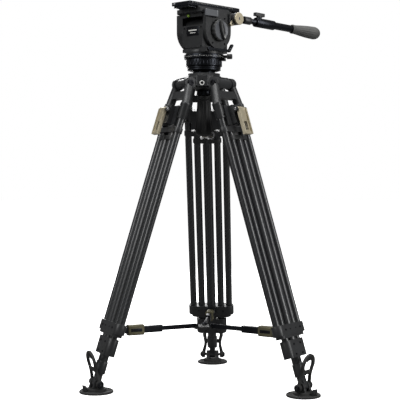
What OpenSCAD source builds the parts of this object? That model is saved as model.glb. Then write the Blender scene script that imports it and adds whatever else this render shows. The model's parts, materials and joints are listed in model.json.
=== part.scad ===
// Video tripod with a fluid head. The origin is on the floor under the pan axis, +Z is up,
// and the camera looks along -Y.

/* [Overall] */
// Height of the leg hinges above the floor
hinge_h = 815; // [700:5:1100]
// Distance from the pan axis to each leg hinge
hinge_r = 60; // [58:1:70]
// Distance from the pan axis to each ankle pin
ankle_r = 312; // [240:1:380]
// Direction of the first leg, from +X
leg_turn = 8; // [0:1:60]

/* [Leg tubes] */
// Diameter of the two fixed leg tubes
outer_tube_d = 19; // [16:0.5:20]
// Distance between the fixed tubes
outer_spacing = 106; // [104:1:112]
// Diameter of the two middle-stage tubes
inner_tube_d = 19; // [15:0.5:19.5]
// Distance between the middle-stage tubes
inner_spacing = 57; // [56:1:59]
// Diameter of the lowest tube
centre_tube_d = 26; // [22:1:27]
// Wall of every leg tube
tube_wall = 1.6; // [1:0.1:3]

/* [Feet] */
// Diameter of the rubber foot
pad_d = 90; // [70:1:100]
// Thickness of the foot's disc
pad_t = 6; // [4:0.5:10]
// Height of the ankle pin above the floor
ankle_h = 25; // [22:0.5:35]
// Diameter of the ankle pin
ankle_pin_d = 8; // [6:0.5:9]
// Height of the strap's top above the floor
strap_top = 111; // [95:1:125]

/* [Spreader] */
// Distance from the pan axis to each hub pin
hub_pin_r = 24; // [22:0.5:28]
// How far each arm shortens as the legs close
arm_travel = 85; // [80:1:90]
// Height of the sliding blade
blade_h = 12; // [10:0.5:13]
// Thickness of the sliding blade
blade_t = 6; // [5:0.5:7]

/* [Bowl] */
// Diameter of the half ball
ball_d = 75; // [70:0.5:78]
// Outside diameter of the bowl rim
bowl_rim_d = 87; // [85:1:90]
// Diameter of the tie-down stud
stud_d = 12; // [10:0.5:13]
// Wall radius of the accessory ports, tapped 3/8 inch
port_r = 3.97; // [3:0.01:4.5]
// Depth of the accessory ports
port_depth = 9; // [7:0.5:12]

/* [Head] */
// Height of the pan base above the leg hinges
base_rise = 35; // [35:0.5:45]
// Diameter of the pan drag ring
drag_ring_d = 98; // [92:1:104]
// Diameter of the fixed ring under the head
fixed_ring_d = 109; // [104:1:114]
// Height of the tilt axis above the pan base
tilt_rise = 108; // [106:0.5:116]
// How far the tilt axis lies behind the pan axis
tilt_y = 5; // [0:0.5:8]
// Half the width of the fixed head body
body_half_w = 37.5; // [34:0.5:38]
// Radius of the round end of each cradle arm
cradle_r = 50; // [46:0.5:50]
// Diameter of the tilt axle
axle_d = 24; // [20:0.5:26]
// Radius of the tilt drag dial
dial_r = 30; // [26:0.5:34]

/* [Camera plate] */
// Width of the camera plate
plate_w = 64; // [60:1:72]
// Length of the camera plate
plate_len = 202; // [180:1:220]
// Thickness of the camera plate's slab
slab_t = 9.5; // [8:0.5:11]
// Radius of the quarter inch camera screw
screw_small_r = 3.175; // [3:0.005:3.3]
// Radius of the three-eighths inch camera screw
screw_large_r = 4.7625; // [4.5:0.0025:5]
// Height of both camera screws above the plate
screw_h = 6; // [5:0.5:7]

/* [Pan bar] */
// Diameter of the pan bar's rod
rod_d = 15; // [12:0.5:16]
// Diameter of the pan bar's sliding tube
bar_tube_d = 20; // [19:0.5:22]
// Angle by which the bar splays outward
bar_splay = 10; // [0:1:15]
// Angle by which the bar drops
bar_drop = 3.5; // [0:0.5:10]
// Length of the grip
grip_len = 106; // [100:1:130]

/* [Hidden] */
$fn = 64;
EPS = 0.01;
FIT = 0.05;      // radial clearance of a running or sliding fit
GAP = 0.3;       // space between faces of different bodies
FLAT_GAP = 0.15; // space each side of a sliding blade

LEGS = ["right", "rear", "front"];

// Leg line, from the hinge to the ankle
leg_angle = atan((ankle_r - hinge_r) / (hinge_h - ankle_h));
leg_len = norm([ankle_r - hinge_r, hinge_h - ankle_h]);
outer_t = outer_spacing / 2;
inner_t = inner_spacing / 2;
outer_tube_r = outer_tube_d / 2;
inner_tube_r = inner_tube_d / 2;
centre_tube_r = centre_tube_d / 2;

// Yoke: two eyes and arms, a web, and the lock housing. Distances run down the leg from the hinge.
eye_r = 16;
eye_in = 30;
eye_out = 45;
bolt_r = 6;
bolt_head_r = 8.5;
arm_r = 12;
arm_top = 8;
arm_start_t = 41;
sleeve_r = outer_tube_r + 3.5;
sleeve_ring = 0.8;
sleeve_top = 58;
sleeve_end = 102;
web_top = 24;
web_h = 20;
web_t = 14;
housing_top = 68;
housing_end = 122;
housing_in = 10;
housing_out = 26;
housing_half_w = 43;

// Flip lever
lever_s = 84;
lever_n = 33;
lever_w = 36;
lever_t = 9;
lever_len = 72;
lever_hub_r = 6.5;
lever_pin_r = 3;
lever_ear_t = 6;

// Brackets of the three stages
mid_slider_top = 127;
mid_slider_h = 14;
low_slider_top = 150;
low_slider_h = 12;
bracket_top = leg_len - 164.5;
bracket_h = 35;
bracket_wall = 2.5;
bracket_r = centre_tube_r + bracket_wall;
collar_top = leg_len - 123;
collar_h = 46;
collar_r = centre_tube_r + bracket_wall;
socket_top = leg_len - 59;
socket_r = centre_tube_r + 2;
slider_r = inner_tube_r + 2.5;
outer_half_w = outer_t + outer_tube_r + 4.5 - bracket_r;
collar_half_w = inner_t + inner_tube_r + 6.5 - collar_r;

// Ankle and foot
ankle_pin_r = ankle_pin_d / 2;
ankle_eye_r = 10.5;
ankle_eye_w = 16;
foot_ear_r = 12;
foot_ear_w = 9.5;
foot_boss_r = 27;

// Strap: a rubber stirrup on the ankle pin, waisted, with a finger hole under its thick top.
// Heights run up the strap from the pin.
strap_t = 7;
strap_lean = 13;
strap_half_w = 31;
strap_foot_in = 22;
strap_foot_out = 33;
strap_eye_r = 10;
strap_waist_in = 17.5;
strap_waist_out = 26;
strap_waist_z = 34;
strap_bridge_h = 12;
strap_grip_h = 17;
strap_hole_half_w = 20;
strap_len = (strap_top - ankle_h) / cos(strap_lean);
strap_arc_z = strap_len - strap_half_w;

// Spreader, level when open; its hub pins hold the blade ends in open saddles
arm_pin_s = bracket_top + 16.5;
arm_pin_n = -(bracket_r + 11);
arm_pin_r = 3;
arm_ear_r = 8;
arm_ear_w = 4.4;
arm_ear_t = 10;
function pin_radius(a) = hinge_r + arm_pin_s * sin(a) + arm_pin_n * cos(a);
function pin_height(a) = hinge_h - arm_pin_s * cos(a) + arm_pin_n * sin(a);
arm_r_open = pin_radius(leg_angle);
arm_z_open = pin_height(leg_angle);
arm_len_open = arm_r_open - hub_pin_r;
arm_tube_len = arm_len_open - arm_travel - 17;
arm_tube_w = blade_t + 8;
arm_tube_h = blade_h + 7;
arm_block_len = 45;
arm_block_start = 17;
arm_block_w = 22;
arm_block_h = 28;
blade_len = arm_tube_len;
hub_r = hub_pin_r + 5;
hub_t = 7.5;
hub_drop = 1.5;
hub_slot_r = hub_pin_r - blade_h / 2 - 1.5;
hub_pin_half = 7;

// Bowl, ball and tie-down
ball_r = ball_d / 2;
base_z = hinge_h + base_rise;
ball_z = base_z - 6;
crown_top = ball_z - 8;
crown_bottom = ball_z - 38;
washer_seat_r = ball_r + 10.5;
washer_r = 20;
crown_boss_r = 33;
crown_body_r = 47;
hinge_boss_r = 13;
hinge_boss_half = 28;
port_face_r = 64;
port_half_w = 13;
port_pin_r = 2.2;
port_pin_rise = 9;
stud_r = stud_d / 2;
stud_open_r = 16;
handle_top = ball_z - 58.3;
handle_len = 111;
stud_end = handle_top - 28;
hook_r = 8;
hook_wire_r = 2.5;
hook_turn = 20;

// Pan base
flange_r = bowl_rim_d / 2 + 2;
flange_top = base_z + 14;
drag_ring_r = drag_ring_d / 2;
drag_core_r = 36;
drag_ring_h = 19;
fixed_ring_r = fixed_ring_d / 2;
fixed_ring_h = 12.5;
fixed_ring_z = flange_top + drag_ring_h + GAP;
fixed_ring_top = fixed_ring_z + fixed_ring_h;
pan_axle_r = 14;
pan_knob_turn = 30;
pan_knob_z = fixed_ring_z + fixed_ring_h / 2;
pan_stem_r = 4;
pan_knob_r = 7;

// Head body and cradle
tilt_z = base_z + tilt_rise;
axle_r = axle_d / 2;
body_z = fixed_ring_top + GAP;
body_disc_r = 50;
body_disc_h = 9.5;
body_front_y = tilt_y - cradle_r;
body_block_top = tilt_z + 14;
badge_w = 46;
badge_low = tilt_z - 15;
badge_h = 26;
lever_boss_w = 18;
lever_boss_h = 14;
drum_r = 43;
dial_axle_r = 8;
arm_w = 11;
arm_x = body_half_w + GAP;
arm_end_x = arm_x + arm_w;
left_arm_w = 22;
left_end_x = arm_x + left_arm_w;
cap_t = 1.5;
seat_z = tilt_z + 44.5;
seat_half_w = 44;
seat_y0 = -60;
seat_len = 122;
seat_h = 12;
dovetail_h = 5;
dovetail_low_w = 56;
dovetail_high_w = 50;
rail_half_w = 36;
plate_z = seat_z + seat_h + GAP;
slab_z = plate_z + dovetail_h + GAP;
plate_top = slab_z + slab_t;
plate_y0 = -92;

// Bubble level in the front of the cradle
bubble_r = 4.2;
bubble_at = [-12, body_front_y - 2, seat_z - 4.5];

// Dial on the right of the head
dial_x = arm_end_x + GAP;
dial_w = 11;
dial_bar_w = 12;
dial_bar_h = 8;

// Tilt lock lever under the right arm
tilt_lever_x = 52.5;
tilt_lever_y = -38;
tilt_lever_z = body_z + 9.5;
tilt_lever_w = 5;
tilt_lever_len = 76;
tilt_lever_pin_r = 4;

// Camera screws
small_slot_y = -38;
large_slot_y = 50;
slot_half_travel = 25;
slot_play = 0.4;
screw_head_r = 8.5;
screw_head_h = 5;
groove_h = 8.5;
neck_inset = 0.5;
catch_x = -22;
catch_r = 3;

// Plate lock lever on the right of the seat
lock_x = 50.5;
lock_y = -6;
lock_hub_r = 6;
lock_pin_r = 3;
lock_paddle_len = 45;
lock_h = 17;
lock_z = seat_z - 9;

// Rosette and pan bar
rosette_y = 68;
rosette_z = tilt_z + 36.5;
rosette_r = 16.5;
rosette_x = arm_end_x + 7.5;
rosette_w = 7.5;
rosette_screw_r = 5;
rod_r = rod_d / 2;
bar_tube_r = bar_tube_d / 2;
bar_x = rosette_x + GAP + rosette_w / 2 + 2;
rod_start = 21;
rod_end = 190;
clamp_start = 62;
clamp_len = 66;
clamp_r = 13;
bar_knob_u = 75;
bar_knob_pin_r = 3;
knob_rise = 1.5;
wing_len = 32;
wing_w = 11;
wing_h = 9;
bar_boss_r = 8;
grip_start = 196;
grip_r0 = 12.5;
grip_r1 = 18;

function azimuth(i) = leg_turn + 120 * i;

// Puts children in a leg's frame: +X outward, +Y along the hinge, -Z down the leg from the hinge.
module at_leg(i) {
    rotate([0, 0, azimuth(i)])
        translate([hinge_r, 0, hinge_h])
            rotate([0, -leg_angle, 0])
                children();
}

// Puts children at a leg's ankle pin, upright: +X outward, +Y along the pin.
module at_ankle(i) {
    rotate([0, 0, azimuth(i)])
        translate([ankle_r, 0, ankle_h])
            children();
}

// Puts children in the pan bar's frame, with +Z along the bar from the rosette.
module along_bar() {
    translate([bar_x, rosette_y, rosette_z])
        rotate([0, 0, -bar_splay])
            rotate([-90 - bar_drop, 0, 0])
                children();
}

// Cylinder along X, starting at x.
module x_cylinder(r, x, w) {
    translate([x, 0, 0])
        rotate([0, 90, 0])
            cylinder(r = r, h = w);
}

// Cylinder along Y, centred.
module y_cylinder(r, w) {
    rotate([90, 0, 0])
        cylinder(r = r, h = w, center = true);
}

// Round bar between two points.
module bar_between(p, q, r) {
    v = q - p;
    translate(p)
        rotate([0, acos(v[2] / norm(v)), atan2(v[1], v[0])])
            cylinder(r = r, h = norm(v));
}

// Block with round ends, lying along Y, its top at z = 0.
module stadium(half_w, r, h) {
    translate([0, 0, -h])
        linear_extrude(h)
            union() {
                square([2 * r, 2 * half_w], center = true);
                for (side = [-1, 1])
                    translate([0, side * half_w]) circle(r);
            }
}

// ---------- crown ----------

module crown() color("#2a2b2e") {
    difference() {
        union() {
            translate([0, 0, crown_top - EPS]) cylinder(d = bowl_rim_d, h = ball_z - crown_top + EPS);
            translate([0, 0, crown_bottom + 4]) cylinder(r = crown_body_r, h = crown_top - crown_bottom - 4);
            intersection() {
                translate([0, 0, ball_z]) sphere(washer_seat_r);
                translate([0, 0, ball_z - 60]) cylinder(r = crown_boss_r, h = 60);
            }
            for (i = [0:2]) rotate([0, 0, azimuth(i)]) {
                translate([hinge_r, 0, hinge_h]) y_cylinder(hinge_boss_r, 2 * hinge_boss_half);
                translate([20, -hinge_boss_half, crown_bottom + 4])
                    cube([hinge_r - 20, 2 * hinge_boss_half, crown_top - crown_bottom - 8]);
                rotate([0, 0, 60])
                    translate([20, -port_half_w, crown_bottom + 1])
                        cube([port_face_r - 20, 2 * port_half_w, crown_top - crown_bottom - 2]);
            }
        }
        translate([0, 0, ball_z]) sphere(ball_r + 2 * FIT);
        translate([0, 0, ball_z - 60]) cylinder(r = stud_open_r, h = 60);
        for (i = [0:2]) rotate([0, 0, azimuth(i)]) {
            translate([hinge_r, 0, hinge_h]) y_cylinder(bolt_r + FIT, 2 * hinge_boss_half + 1);
            rotate([0, 0, 60]) {
                translate([0, 0, hinge_h])
                    x_cylinder(port_r, port_face_r - port_depth, port_depth + 1);
                translate([0, 0, hinge_h + port_pin_rise])
                    x_cylinder(port_pin_r, port_face_r - port_depth, port_depth + 1);
            }
        }
    }
}

module hinge_bolts() color("#1b1b1d") {
    for (i = [0:2]) rotate([0, 0, azimuth(i)]) translate([hinge_r, 0, hinge_h]) {
        y_cylinder(bolt_r, 2 * eye_out + 2 * GAP + EPS);
        for (side = [-1, 1])
            translate([0, side * (eye_out + GAP + 1.4), 0])
                difference() {
                    y_cylinder(bolt_head_r, 2.8);
                    translate([0, side * 1, 0]) y_cylinder(3.2, 2.8);
                }
    }
}

module half_ball() color("#3a3b3e") {
    intersection() {
        translate([0, 0, ball_z]) sphere(ball_r);
        translate([0, 0, ball_z - 32]) cylinder(r = ball_r + 1, h = 32);
    }
    translate([0, 0, ball_z - EPS]) cylinder(r = 30, h = base_z - ball_z + EPS);
    translate([0, 0, stud_end]) cylinder(r = stud_r, h = ball_z - stud_end - 20);
}

module clamp_washer() color("#1f2022") {
    difference() {
        translate([0, 0, handle_top + GAP]) cylinder(r = washer_r, h = 14.5);
        translate([0, 0, ball_z]) sphere(washer_seat_r + 2 * FIT);
        translate([0, 0, handle_top]) cylinder(r = stud_r + FIT, h = 30);
    }
}

module tie_down_handle() color("#232427") {
    low = handle_top - handle_len;
    difference() {
        union() {
            rotate_extrude()
                polygon([[0, handle_top], [16, handle_top], [18, handle_top - 3], [18, handle_top - 12],
                         [19.5, handle_top - 14], [20.5, handle_top - 50], [25.5, low + 22],
                         [25.5, low + 12], [21, low + 3], [14, low], [0, low]]);
            rotate([0, 0, hook_turn])
                translate([21, 0, low + 3])
                    rotate([90, 0, 0])
                        rotate_extrude() translate([hook_r, 0]) circle(hook_wire_r);
        }
        translate([0, 0, stud_end - 3]) cylinder(r = stud_r + FIT, h = 60);
    }
}

// ---------- legs ----------

module yoke(i) color("#303135") at_leg(i) {
    difference() {
        union() {
            for (side = [-1, 1]) {
                translate([0, side * (eye_in + eye_out) / 2, 0]) y_cylinder(eye_r, eye_out - eye_in);
                bar_between([0, side * arm_start_t, -arm_top], [0, side * outer_t, -sleeve_top - 3], arm_r);
                translate([0, side * outer_t, -sleeve_end])
                    cylinder(r = sleeve_r, h = sleeve_end - sleeve_top);
                translate([0, side * outer_t, -sleeve_top - 5])
                    cylinder(r = sleeve_r + sleeve_ring, h = 4);
                translate([lever_n, side * (lever_w / 2 + GAP + lever_ear_t / 2), -lever_s])
                    y_cylinder(lever_hub_r, lever_ear_t);
                translate([housing_out - 4, side * (lever_w / 2 + GAP + lever_ear_t / 2), -lever_s])
                    cube([2 * (lever_n - housing_out) + 2, lever_ear_t, 2 * lever_hub_r - 1], center = true);
            }
            translate([-web_t / 2, -outer_t + 4, -web_top - web_h]) cube([web_t, 2 * outer_t - 8, web_h]);
            translate([-housing_in, -housing_half_w, -housing_end])
                cube([housing_in + sleeve_r, 2 * housing_half_w, housing_end - housing_top]);
            translate([0, -lever_w / 2 - lever_ear_t, -housing_end + 2])
                cube([housing_out, lever_w + 2 * lever_ear_t, housing_end - housing_top - 4]);
        }
        for (side = [-1, 1]) {
            translate([0, side * outer_t, -sleeve_end - 30])
                cylinder(r = outer_tube_r + FIT, h = sleeve_end - sleeve_top + 26);
            translate([lever_n, side * lever_w, -lever_s]) y_cylinder(lever_pin_r + FIT, lever_w);
        }
        y_cylinder(bolt_r + FIT, 2 * eye_out + 1);
        y_cylinder(eye_r + 1, 2 * eye_in);
        for (side = [-1, 1])
            translate([0, side * (eye_out + 5), 0]) y_cylinder(bolt_head_r + 1, 10);
        translate([lever_n, 0, -lever_s]) y_cylinder(lever_hub_r + 0.5, lever_w + 2 * GAP);
    }
}

module tube_pair(t, r, top, end) {
    for (side = [-1, 1])
        translate([0, side * t, -end])
            difference() {
                cylinder(r = r, h = end - top);
                translate([0, 0, -1]) cylinder(r = r - tube_wall, h = end - top + 2);
            }
}

module outer_tubes(i) color("#26272a") at_leg(i)
    tube_pair(outer_t, outer_tube_r, sleeve_top + 7, bracket_top + 24);

module inner_tubes(i) color("#26272a") at_leg(i)
    tube_pair(inner_t, inner_tube_r, mid_slider_top + 2, collar_top + 38);

module lower_bracket(i) color("#303135") at_leg(i) {
    difference() {
        union() {
            translate([0, 0, -bracket_top]) stadium(outer_half_w, bracket_r, bracket_h - 8);
            translate([0, 0, -bracket_top - bracket_h + 8 + EPS])
                stadium(outer_half_w - 7, bracket_r - 1.5, 8);
            for (side = [-1, 1]) {
                translate([arm_pin_n, side * arm_ear_t, -arm_pin_s]) y_cylinder(arm_ear_r, arm_ear_w);
                translate([arm_pin_n / 2 - 2, side * arm_ear_t, -arm_pin_s])
                    cube([-arm_pin_n - 4, arm_ear_w, 2 * arm_ear_r], center = true);
            }
        }
        for (side = [-1, 1]) {
            translate([0, side * outer_t, -bracket_top - 24]) cylinder(r = outer_tube_r + FIT, h = 30);
            translate([0, side * inner_t, -bracket_top - 50]) cylinder(r = inner_tube_r + FIT, h = 60);
        }
        translate([0, 0, -bracket_top - 50]) cylinder(r = centre_tube_r + FIT, h = 60);
        translate([arm_pin_n, 0, -arm_pin_s]) y_cylinder(arm_pin_r + FIT, 40);
        translate([arm_pin_n - 9, -7.6, -arm_pin_s - 20]) cube([19, 15.2, 40]);
    }
}

module mid_brackets(i) color("#303135") at_leg(i) {
    difference() {
        translate([0, 0, -mid_slider_top])
            stadium(outer_t + outer_tube_r + 2 - slider_r, slider_r, mid_slider_h);
        for (side = [-1, 1]) {
            translate([0, side * outer_t, -mid_slider_top - 30]) cylinder(r = outer_tube_r + FIT, h = 40);
            translate([0, side * inner_t, -mid_slider_top - 30]) cylinder(r = inner_tube_r + FIT, h = 28);
        }
    }
    difference() {
        translate([0, 0, -collar_top]) stadium(collar_half_w, collar_r, collar_h);
        for (side = [-1, 1])
            translate([0, side * inner_t, -collar_top - 38]) cylinder(r = inner_tube_r + FIT, h = 50);
        translate([0, 0, -collar_top - 60]) cylinder(r = centre_tube_r + FIT, h = 70);
    }
}

module centre_tube(i) color("#26272a") at_leg(i) {
    difference() {
        union() {
            translate([0, 0, -socket_top - 30])
                cylinder(r = centre_tube_r, h = socket_top + 30 - low_slider_top - 2);
            translate([0, 0, -low_slider_top]) stadium(inner_t, slider_r, low_slider_h);
        }
        translate([0, 0, -socket_top - 31])
            cylinder(r = centre_tube_r - tube_wall, h = socket_top + 20 - low_slider_top);
        for (side = [-1, 1])
            translate([0, side * inner_t, -low_slider_top - 30]) cylinder(r = inner_tube_r + FIT, h = 40);
    }
}

module ankle_socket(i) color("#2a2b2e") at_leg(i) {
    difference() {
        union() {
            translate([0, 0, -socket_top - 33]) cylinder(r = socket_r, h = 33);
            translate([0, 0, -leg_len]) y_cylinder(ankle_eye_r, ankle_eye_w);
            translate([-9, -ankle_eye_w / 2, -leg_len]) cube([18, ankle_eye_w, leg_len - socket_top - 32]);
        }
        translate([0, 0, -socket_top - 30]) cylinder(r = centre_tube_r + FIT, h = 40);
    }
    translate([0, 0, -leg_len]) y_cylinder(ankle_pin_r, 2 * strap_foot_out + 6);
}

// The lever's plate hangs from its hub, with a window in its lower half.
module flip_lever(i) color("#b7ae98") at_leg(i) translate([lever_n, 0, -lever_s]) {
    difference() {
        union() {
            y_cylinder(lever_hub_r, lever_w);
            y_cylinder(lever_pin_r, lever_w + 2 * lever_ear_t + 1);
            translate([0, -lever_w / 2, -lever_len + 4]) cube([lever_t - 3, lever_w, lever_len - 4]);
            translate([0, -lever_w / 2, -lever_len]) cube([lever_t - 1, lever_w, 8]);
            for (side = [-1, 1])
                translate([1, side * (lever_w / 2 - 2) - 2, -lever_len]) cube([lever_t, 4, lever_len]);
        }
        translate([-9, -7, -lever_len + 12]) cube([30, 14, 24]);
    }
}

// ---------- feet ----------

module foot(i) color("#1d1e20") at_ankle(i) {
    difference() {
        union() {
            translate([0, 0, -ankle_h]) cylinder(r = pad_d / 2, h = pad_t - 1.5);
            translate([0, 0, -ankle_h + pad_t - 1.5 - EPS]) cylinder(r = pad_d / 2 - 2, h = 1.5 + EPS);
            translate([0, 0, -ankle_h + pad_t - EPS]) cylinder(r = foot_boss_r, h = 6.5);
            for (side = [-1, 1]) {
                ear_y = side * (ankle_eye_w / 2 + GAP + foot_ear_w / 2);
                translate([0, ear_y, 0]) y_cylinder(foot_ear_r, foot_ear_w);
                translate([0, ear_y, -ankle_h / 2 + pad_t / 2])
                    cube([2 * foot_ear_r + 6, foot_ear_w, ankle_h - pad_t], center = true);
            }
        }
        y_cylinder(ankle_pin_r + FIT, 80);
        y_cylinder(ankle_eye_r + 1, ankle_eye_w + 2 * GAP);
    }
}

// Outline of the strap, flat: two strands from the eyes, a bridge, and a round top with a finger hole.
module strap_outline() {
    hole_z = strap_waist_z + strap_bridge_h;
    hole_top = strap_len - strap_grip_h;
    difference() {
        union() {
            polygon([[-strap_foot_out, 0], [strap_foot_out, 0], [strap_waist_out, strap_waist_z],
                     [strap_half_w, strap_arc_z], [-strap_half_w, strap_arc_z],
                     [-strap_waist_out, strap_waist_z]]);
            translate([0, strap_arc_z]) circle(strap_half_w);
        }
        polygon([[-strap_foot_in, -1], [strap_foot_in, -1], [strap_waist_in, strap_waist_z],
                 [-strap_waist_in, strap_waist_z]]);
        polygon([[-strap_waist_in, hole_z], [strap_waist_in, hole_z], [strap_hole_half_w, strap_arc_z],
                 [strap_hole_half_w - 8, hole_top], [8 - strap_hole_half_w, hole_top],
                 [-strap_hole_half_w, strap_arc_z]]);
    }
}

module foot_strap(i) color("#1a1a1c") at_ankle(i) {
    eye_y = (strap_foot_in + strap_foot_out) / 2;
    difference() {
        union() {
            rotate([0, strap_lean, 0])
                rotate([90, 0, 90])
                    translate([0, 0, -strap_t / 2]) linear_extrude(strap_t) strap_outline();
            for (side = [-1, 1])
                translate([0, side * eye_y, 0]) y_cylinder(strap_eye_r, strap_foot_out - strap_foot_in);
        }
        y_cylinder(ankle_pin_r + FIT, 2 * strap_foot_out + 2);
        rotate([0, strap_lean, 0])
            translate([-strap_t, -strap_waist_in, strap_waist_z - 1])
                cube([strap_t + 0.5, 2 * strap_waist_in, strap_bridge_h + 2]);
    }
}

// ---------- spreader ----------

// Puts children at the arm's pin on a leg: +X outward and level.
module at_arm(i) {
    rotate([0, 0, azimuth(i)])
        translate([arm_r_open, 0, arm_z_open])
            children();
}

module spreader_arm(i) color("#8f8973") at_arm(i) {
    difference() {
        union() {
            y_cylinder(7.5, 15);
            y_cylinder(arm_pin_r, 24.4);
            translate([-arm_block_start - 1, -7.5, -7.5]) cube([arm_block_start + 1, 15, 15]);
            translate([-arm_block_start - arm_block_len, -arm_block_w / 2, -arm_block_h / 2])
                cube([arm_block_len, arm_block_w, arm_block_h]);
            translate([-arm_tube_len, -arm_tube_w / 2, -arm_tube_h / 2])
                cube([arm_tube_len - arm_block_start, arm_tube_w, arm_tube_h]);
        }
        translate([-arm_tube_len - 1, -blade_t / 2 - FLAT_GAP, -blade_h / 2 - FLAT_GAP])
            cube([arm_tube_len - arm_block_start + 1, blade_t + 2 * FLAT_GAP, blade_h + 2 * FLAT_GAP]);
    }
}

module spreader_blade(i) color("#2a2b2e") rotate([0, 0, azimuth(i)]) translate([hub_pin_r, 0, arm_z_open]) {
    y_cylinder(blade_h / 2, blade_t);
    y_cylinder(arm_pin_r, 2 * hub_pin_half);
    translate([0, -blade_t / 2, -blade_h / 2]) cube([blade_len, blade_t, blade_h]);
}

module spreader_hub() color("#232427") {
    difference() {
        translate([0, 0, arm_z_open - hub_drop - hub_t]) cylinder(r = hub_r, h = hub_t);
        for (i = [0:2]) rotate([0, 0, azimuth(i)]) translate([0, 0, arm_z_open]) {
            translate([hub_slot_r, -blade_t / 2 - 0.5, -20]) cube([hub_r, blade_t + 1, 40]);
            translate([hub_pin_r, 0, 0]) y_cylinder(arm_pin_r + GAP, 2 * hub_pin_half + 1);
        }
        translate([0, 0, arm_z_open - 30]) cylinder(r = 6, h = 60);
    }
}

// ---------- pan base ----------

module pan_base() color("#2a2b2e") {
    difference() {
        rotate_extrude()
            polygon([[0, base_z], [flange_r - 9, base_z], [flange_r, base_z + 3], [flange_r, base_z + 6],
                     [flange_r - 1.2, base_z + 6.7], [flange_r - 1.2, base_z + 7.9], [flange_r, base_z + 8.6],
                     [flange_r, flange_top - 2], [flange_r - 1.5, flange_top - GAP],
                     [drag_core_r, flange_top - GAP], [drag_core_r, fixed_ring_z],
                     [fixed_ring_r - 1, fixed_ring_z], [fixed_ring_r, fixed_ring_z + 1],
                     [fixed_ring_r, fixed_ring_top - 1.5], [fixed_ring_r - 1.5, fixed_ring_top],
                     [0, fixed_ring_top]]);
        translate([0, 0, fixed_ring_z - 10]) cylinder(r = pan_axle_r + FIT, h = 60);
        rotate([0, 0, pan_knob_turn])
            translate([0, 0, pan_knob_z]) x_cylinder(pan_stem_r + FIT, fixed_ring_r - 12, 30);
    }
    rotate([0, 0, pan_knob_turn])
        translate([drag_ring_r + 1, -9, fixed_ring_z - 5]) cube([9, 18, 7]);
}

module pan_drag_ring() color("#232427") {
    teeth = 30;
    difference() {
        translate([0, 0, flange_top]) cylinder(r = drag_ring_r, h = drag_ring_h);
        translate([0, 0, flange_top - 1]) cylinder(r = drag_core_r + FIT, h = drag_ring_h + 2);
        for (k = [0:teeth - 1])
            rotate([0, 0, 360 * k / teeth])
                translate([drag_ring_r + 0.6, 0, flange_top + 4])
                    cylinder(r = 1.6, h = drag_ring_h - 8, $fn = 16);
    }
}

module pan_lock_knob() color("#1f2022") rotate([0, 0, pan_knob_turn]) translate([0, 0, pan_knob_z]) {
    x_cylinder(pan_stem_r, fixed_ring_r - 11, 23);
    difference() {
        x_cylinder(pan_knob_r, fixed_ring_r + 10, 13);
        for (k = [0:7])
            rotate([45 * k, 0, 0])
                translate([0, 0, pan_knob_r + 1]) x_cylinder(2, fixed_ring_r + 12, 12);
    }
}

// ---------- head ----------

module head_body() color("#2e2f33") {
    difference() {
        union() {
            translate([0, 0, body_z]) cylinder(r = body_disc_r, h = body_disc_h);
            translate([-body_half_w, body_front_y, body_z + 4])
                cube([2 * body_half_w, 2 * (tilt_y - body_front_y) - 2, body_block_top - body_z - 4]);
            translate([0, tilt_y, tilt_z]) x_cylinder(drum_r, -body_half_w, 2 * body_half_w);
            translate([0, tilt_y, tilt_z]) x_cylinder(axle_r, -left_end_x, left_end_x + arm_end_x);
            translate([0, tilt_y, tilt_z]) x_cylinder(dial_axle_r, 0, dial_x + 8);
            translate([0, tilt_y, tilt_z]) x_cylinder(axle_r + 10, -left_end_x - GAP - cap_t, cap_t);
            translate([0, tilt_y, tilt_z]) x_cylinder(axle_r - 1, -left_end_x - GAP - 1, 4);
            translate([body_half_w - 5, tilt_lever_y - lever_boss_w / 2, tilt_lever_z - lever_boss_h / 2])
                cube([tilt_lever_x - body_half_w + 5 - GAP, lever_boss_w, lever_boss_h]);
        }
        translate([-badge_w / 2, body_front_y - 1, badge_low]) cube([badge_w, 2, badge_h]);
        translate([-body_half_w - 1, body_front_y - 1, body_z + 13]) cube([2 * body_half_w + 2, 4, 3]);
        translate([0, tilt_lever_y, tilt_lever_z]) x_cylinder(tilt_lever_pin_r + FIT, body_half_w, 40);
    }
    translate([0, 0, fixed_ring_z - 8]) cylinder(r = pan_axle_r, h = fixed_ring_h + 10);
}

// Lever with an upturned finger tab; its shaft turns in the head body.
module tilt_lock_lever() color("#1b1b1d") translate([0, tilt_lever_y, tilt_lever_z]) {
    x_cylinder(tilt_lever_pin_r, body_half_w + 1, tilt_lever_x - body_half_w);
    x_cylinder(6, tilt_lever_x, tilt_lever_w);
    translate([tilt_lever_x, 0, -3.5]) cube([tilt_lever_w, tilt_lever_len, 7]);
    translate([tilt_lever_x, tilt_lever_len, 0])
        rotate([55, 0, 0])
            translate([0, -3, -3.5]) cube([tilt_lever_w + 4, 24, 6]);
}

module tilt_drag_dial() color("#4a4b50") translate([0, tilt_y, tilt_z]) {
    flutes = 16;
    difference() {
        union() {
            x_cylinder(dial_r, dial_x, dial_w);
            rotate([0, 90, 0])
                translate([0, 0, dial_x + dial_w - EPS])
                    rotate([0, 0, 15])
                        linear_extrude(dial_bar_h)
                            union() {
                                square([2 * dial_r - 16, dial_bar_w], center = true);
                                for (side = [-1, 1])
                                    translate([side * (dial_r - 8), 0]) circle(dial_bar_w / 2);
                            }
        }
        x_cylinder(dial_axle_r + FIT, dial_x - 1, 10);
        for (k = [0:flutes - 1])
            rotate([360 * k / flutes, 0, 0])
                translate([0, 0, dial_r + 2.2]) x_cylinder(4, dial_x - 1, dial_w - 2);
    }
}

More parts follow.
